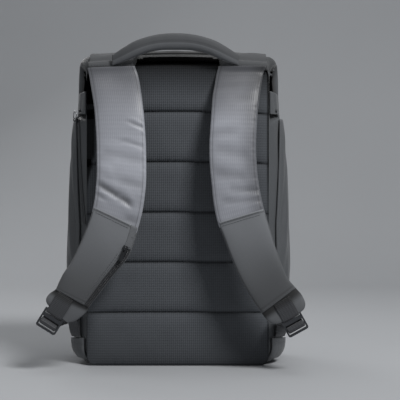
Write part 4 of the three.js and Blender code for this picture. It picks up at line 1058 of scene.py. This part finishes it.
def ribbon(name, path, across, width, thick, material, slot, nodes, samples=140, shade=0.0):
    """A flat webbing with rounded edges along a path. shade is painted shade that darkens its first few
    millimetres, where they come out from under the strap's hem.
    """
    at = lengths(path)
    fine_at = np.linspace(0, at[-1], samples)
    fine = spline(at, path, fine_at)
    wide = spline(at, across, fine_at)
    along = unit(np.gradient(fine, axis=0))
    side = unit(wide - along * np.sum(wide * along, axis=-1, keepdims=True))
    out = np.cross(side, along)
    u, v = rounded(28, 0.35, 0.6)
    sections = fine[:, None] + side[:, None] * (u * width / 2)[None, :, None]
    sections = sections + out[:, None] * (v * thick / 2)[None, :, None]
    around = np.append((u + 1) * width / 2, 0.0)
    tone = np.tile(1 - 0.2 * (np.abs(u) > 0.93), (samples, 1))
    tone = tone * (1 - shade * smooth((12 - fine_at) / 9))[:, None]
    tube(name, sections, metre_uv(around, fine_at), material, slot, nodes=nodes, tone=tone)


def turn(name, bar, start, end, steps=9):
    angles = np.linspace(start, end, steps)
    return [in_buckle(name, bar + LOOP_RADIUS * math.cos(a), LOOP_RADIUS * math.sin(a)) for a in angles]


def build_webbing(strap):
    name, sign = strap.name, strap.sign
    outer = BUCKLES[name][1]
    begin, _, _, _, _, _ = strap.at(np.float64(HEM_ROW + 0.12))
    top = in_buckle(name, -BUCKLE_REACH * 0.6, LOOP_RADIUS + 0.4)
    frame_start = in_buckle(name, 0, 0)
    drop = in_buckle(name, 1, 0) - frame_start
    run = np.dot(begin - frame_start, drop)
    _, _, _, _, _, thick = strap.at(np.float64(HEM_ROW))
    lift = float(thick) / 2 + 1.3
    depth = np.dot(begin - frame_start, TOWARDS)
    path = [
        in_buckle(name, run, depth + lift),
        in_buckle(name, run * 0.82, depth + lift + 0.1),
        in_buckle(name, run * 0.55, depth + lift * 0.96),
        top,
        *turn(name, 0, math.pi / 2, -math.pi / 2),
        in_buckle(name, -BUCKLE_REACH + 1, -LOOP_RADIUS),
    ]
    ribbon(f"{name}_strap_webbing", np.array(path), np.tile(outer, (len(path), 1)), WEBBING_WIDTH,
           WEBBING_THICKNESS, "webbing", "webbing", (f"{name}_upper_webbing",), shade=0.75)
    half = (ANCHOR_TO - ANCHOR_FROM) / 4
    foot = side_place(sign, WEBBING_BACK, ANCHOR_HEIGHT + GAP, ANCHOR_LIFT + ANCHOR_CLOTH / 2)
    flare = unit(side_place(sign, WEBBING_BACK + half, ANCHOR_HEIGHT, 0)
                 - side_place(sign, WEBBING_BACK - half, ANCHOR_HEIGHT, 0))
    tail = in_buckle(name, LOWER_BAR - 2.6 * LOOP_RADIUS, -1.9 * LOOP_RADIUS)
    wrap = turn(name, LOWER_BAR, 1.15 * math.pi, 0)
    slack = WEBBING_SLACK
    clear = POCKET_LIFT + CLOTH + POCKET_BULGE
    route = [
        in_buckle(name, LOWER_BAR + LOOP_RADIUS * 0.95, -1.3 * LOOP_RADIUS),
        in_buckle(name, LOWER_BAR - LOOP_RADIUS, -slack * 0.6, -slack * 0.1),
        in_buckle(name, 3.0, -slack * 1.25, -slack * 0.5),
    ]
    rises = ((1.8, clear + slack * 0.9), (1.25, clear + slack * 0.25), (0.7, clear), (0.2, clear * 0.7))
    for up, out in rises:
        route.append(side_place(sign, WEBBING_BACK, ANCHOR_HEIGHT + slack * up, out))
    route.append(foot)
    path = np.array([tail, *wrap, *route])
    share = smooth((np.arange(len(path)) - len(wrap)) / (len(route)))[:, None]
    across = unit(outer * (1 - share) + flare * share)
    ribbon(f"{name}_base_webbing", path, across, WEBBING_WIDTH, WEBBING_THICKNESS, "webbing", "webbing",
           (f"{name}_lower_webbing",))


def build_anchor(name):
    sign = SIDES[name]
    backs = np.linspace(ANCHOR_FROM, ANCHOR_TO, 16)
    rows = np.linspace(0, 1, 18)
    grid_back = np.tile(backs, (18, 1))
    slant = 3.2 * (np.arange(16) / 15)
    z = lerp(ANCHOR_FOOT, ANCHOR_HEIGHT, rows)[:, None] - slant * (rows[:, None] ** 4)
    rise = 0.5 * np.sin(rows * math.pi)[:, None] + 0.25 * np.sin(backs * 160)[None, :]
    front = side_place(sign, grid_back, z, ANCHOR_LIFT + ANCHOR_CLOTH + rise * smooth(rows * 6)[:, None])
    back = side_place(sign, grid_back, z, ANCHOR_LIFT)
    uv = metre_uv(lengths(front[9]), lengths(front[:, 8]))
    # Painted shade along the top edge.
    tone = np.ones((18, 16)) - 0.3 * hill(rows[:, None], 1, 0.05)
    slab(f"{name}_anchor", front, back, uv, "side", "side_cloth", nodes=(f"{name}_anchor_tab",), tone=tone)
    chunks = []
    for share in (0.82, 0.72):
        line = front[int(share * 17)]
        outs = unit(front[9] - back[9])
        chunks += stitch_line(line, outs, 2.4, 1.0, 0.35)
    join_meshes(f"{name}_anchor_stitches", chunks, "thread", "side_cloth")


# Side pockets and the folded tabs above them
POCKET_TO = 0.67
ZIP_TOP, ZIP_FOOT, ZIP_INSET, ZIP_HALF, TOOTH_STEP = 346.4, 196.0, 0.032, 0.0152, 1.6
# Folds of a side pocket: place across, reach up it from and to, depth and width
FOLDS = [
    (0.16, 0.25, 1.0, 1.0, 0.06), (0.3, 0.0, 0.7, 0.55, 0.07), (0.42, 0.15, 0.85, 0.9, 0.08),
    (0.56, 0.35, 1.0, 0.5, 0.06), (0.7, 0.3, 0.95, 0.8, 0.08), (0.84, 0.0, 0.6, 0.5, 0.06),
]
pocket_ripples = Ripples(61, ((9, 22), (90, 260)))


def pocket_lift(across, height):
    round_form = np.sqrt(np.maximum(0, np.sin(math.pi * across) * np.sin(math.pi * height)))
    fold = 0
    for back, low, high, deep, wide in FOLDS:
        near = bump(across + 0.04 * np.sin(height * 7), back, wide * 1.6)
        fold = fold + deep * near * smooth((height - low) * 6) * smooth((high - height) * 6 + 0.4)
    edge = smooth(across * 12) * smooth((1 - across) * 12)
    ripples = 0.75 * pocket_ripples(across * 70, height * 300) * edge
    return POCKET_BULGE * (round_form + 0.95 * fold * edge) + ripples


def pocket_rear(z):
    """Rear edge of a side pocket, as a share of the depth. It slants along the zip, then runs straight."""
    return lerp(0.06, 0.15, np.clip((z - ZIP_FOOT) / (ZIP_TOP - ZIP_FOOT), 0, 1))


def build_side_pocket(name):
    sign = SIDES[name]
    columns, rows = 60, 110
    across, height = np.meshgrid(np.linspace(0, 1, columns), np.linspace(0, 1, rows))
    z = lerp(POCKET_FOOT, POCKET_TOP, height)
    backs = lerp(pocket_rear(z), POCKET_TO, across)
    lift = pocket_lift(across if name == "left" else 0.97 * across, height)
    front = side_place(sign, backs, z, POCKET_LIFT + CLOTH + lift)
    back = side_place(sign, backs, z, POCKET_LIFT + np.minimum(2.4, lift * 0.7))
    uv = metre_uv(lengths(front[50]), lengths(front[:, 30]))
    # Painted highlight along the pocket's top hem and, fainter, along its rear edge.
    hem_highlight = hill(height, 1, 0.012) + 0.5 * hill(across, 0, 0.03)
    tone = 1 + 0.25 * hem_highlight
    slab(f"{name}_pocket_cloth", front, back, uv, "side", "side_cloth",
         nodes=(f"{name}_side_pocket",), tone=tone)


FOLD_FOOT, FOLD_HEIGHT, FOLD_BOW = 351.2, 32.0, 2.5


def fold_place(sign, share, z, lift):
    near = side_place(sign, 0.012, z, GAP)
    far = side_place(sign, 0.245, z, 1.5 * GAP)
    across = unit(far - near)
    out = np.cross(across, [0, 0, 1.0]) * sign
    bow = FOLD_BOW * np.sin(math.pi * share)
    return lerp(near, far, share[..., None]) + out * (lift + bow)[..., None]


def build_fold(name):
    sign = SIDES[name]
    share, t = np.meshgrid(np.linspace(0, 1, 24), np.linspace(0, 1, 22))
    z = FOLD_FOOT + FOLD_HEIGHT * lerp(0.06 * share, 1 - 0.09 * share, t)
    wave = 0.35 * np.sin(share * 11 + t * 3) * np.sin(math.pi * share)
    front = fold_place(sign, share, z, CLOTH + wave)
    back = fold_place(sign, share, z, 0 * share)
    uv = metre_uv(lengths(front[11]), lengths(front[:, 12]))
    slab(f"{name}_folded_tab", front, back, uv, "side", "side_cloth", nodes=(f"{name}_side_fold",))


for key, strap in STRAPS.items():
    build_webbing(strap)
    build_anchor(key)
    build_side_pocket(key)
    build_fold(key)


def build_side_zip():
    sign = SIDES["left"]
    across, z = np.meshgrid(np.linspace(-1, 1, 7), np.linspace(ZIP_FOOT, ZIP_TOP, 40))
    backs = pocket_rear(z) - ZIP_INSET + across * ZIP_HALF
    front = side_place(sign, backs, z, GAP + 0.9)
    back = side_place(sign, backs, z, GAP)
    uv = metre_uv(lengths(front[20]), lengths(front[:, 3]))
    slab("side_zip_cloth", front, back, uv, "side", "zip", nodes=("side_zip_tape",))
    teeth = []
    for height in np.arange(ZIP_FOOT + 2, ZIP_TOP - 2.4, TOOTH_STEP):
        back = pocket_rear(height) - ZIP_INSET
        middle = side_place(sign, back, height, GAP + 1.3)
        across = unit(side_place(sign, back + 0.012, height, GAP + 1.3) - middle)
        out = unit(side_place(sign, back, height, 3) - side_place(sign, back, height, 0))
        for turned in (-1, 1):
            start = middle + across * turned * 0.2
            teeth.append(capsule(start, start + across * turned * 1.7, out, 0.5, 1.0))
    join_meshes("side_zip_teeth", teeth, "thread", "zip")


build_side_zip()

# Hard pieces keep their solids. Each has its material and the width of its rounded edges in metres.
HARD = {
    "left_buckle": ("plastic", 0.0008), "right_buckle": ("plastic", 0.0008),
    "left_rivet": ("dark_metal", 0.0004), "right_rivet": ("dark_metal", 0.0004),
    "strap_zip_slider": ("dark_metal", 0.0003), "strap_zip_pull": ("dark_metal", 0.0003),
    "side_zip_slider": ("dark_metal", 0.0003), "ring_pull": ("bright_metal", 0.0),
}
for node, (material, width) in HARD.items():
    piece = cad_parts[node]
    piece.data.materials.clear()
    piece.data.materials.append(MATERIALS[material])
    weld = piece.modifiers.new("weld", "WELD")
    weld.merge_threshold = 0.00002
    if width:
        edge = piece.modifiers.new("edge", "BEVEL")
        edge.width = width
        edge.segments = 3
        edge.limit_method = "ANGLE"
        edge.angle_limit = math.radians(30)
        edge.harden_normals = True
    else:
        fine = piece.modifiers.new("fine", "SUBSURF")
        fine.levels = fine.render_levels = 2


# Floor, a curved sweep that rises behind the bag
def build_floor():
    profile = [(-4.0, 0.0), (1.2, 0.0)]
    for k in range(1, 17):
        a = k / 16 * math.pi / 2
        profile.append((1.2 + 0.9 * math.sin(a), 0.9 - 0.9 * math.cos(a)))
    profile.append((2.1, 3.2))
    points, faces = [], []
    for x in (-4.0, 4.0):
        points += [(x, y, z) for y, z in profile]
    n = len(profile)
    for k in range(n - 1):
        faces.append([k, n + k, n + k + 1, k + 1])
    mesh = bpy.data.meshes.new("floor")
    mesh.from_pydata(points, [], faces)
    mesh.polygons.foreach_set("use_smooth", [True] * len(faces))
    floor = bpy.data.objects.new("floor", mesh)
    bpy.context.scene.collection.objects.link(floor)
    graph = Graph("floor")
    color = graph.mix(graph.noise(2.0), (0.36, 0.37, 0.385, 1), (0.39, 0.4, 0.415, 1))
    mesh.materials.append(graph.finish(Base_Color=color, Roughness=0.9))


def area_light(name, place, target, size, power):
    data = bpy.data.lights.new(name, "AREA")
    data.shape = "RECTANGLE"
    data.size, data.size_y = size
    data.energy = power
    light = bpy.data.objects.new(name, data)
    light.location = place
    light.rotation_euler = (Vector(target) - Vector(place)).to_track_quat("-Z", "Y").to_euler()
    bpy.context.scene.collection.objects.link(light)


build_floor()
area_light("key", (1.5, -1.95, 2.55), (0, 0, 0.26), (0.9, 0.9), 96)
area_light("fill", (-1.5, -1.4, 0.7), (0, 0, 0.22), (1.4, 1.2), 4.5)
area_light("top", (0.1, 0.1, 1.6), (0, 0, 0.3), (1.0, 0.8), 6)
area_light("back", (-0.9, 1.2, 1.2), (0, 0.1, 0.25), (0.9, 0.9), 7)
world = bpy.data.worlds.new("world")
world.use_nodes = True
world.node_tree.nodes["Background"].inputs[0].default_value = (0.9, 0.95, 1.0, 1)
world.node_tree.nodes["Background"].inputs[1].default_value = 0.12
bpy.context.scene.world = world
bpy.context.scene.view_settings.view_transform = "Standard"
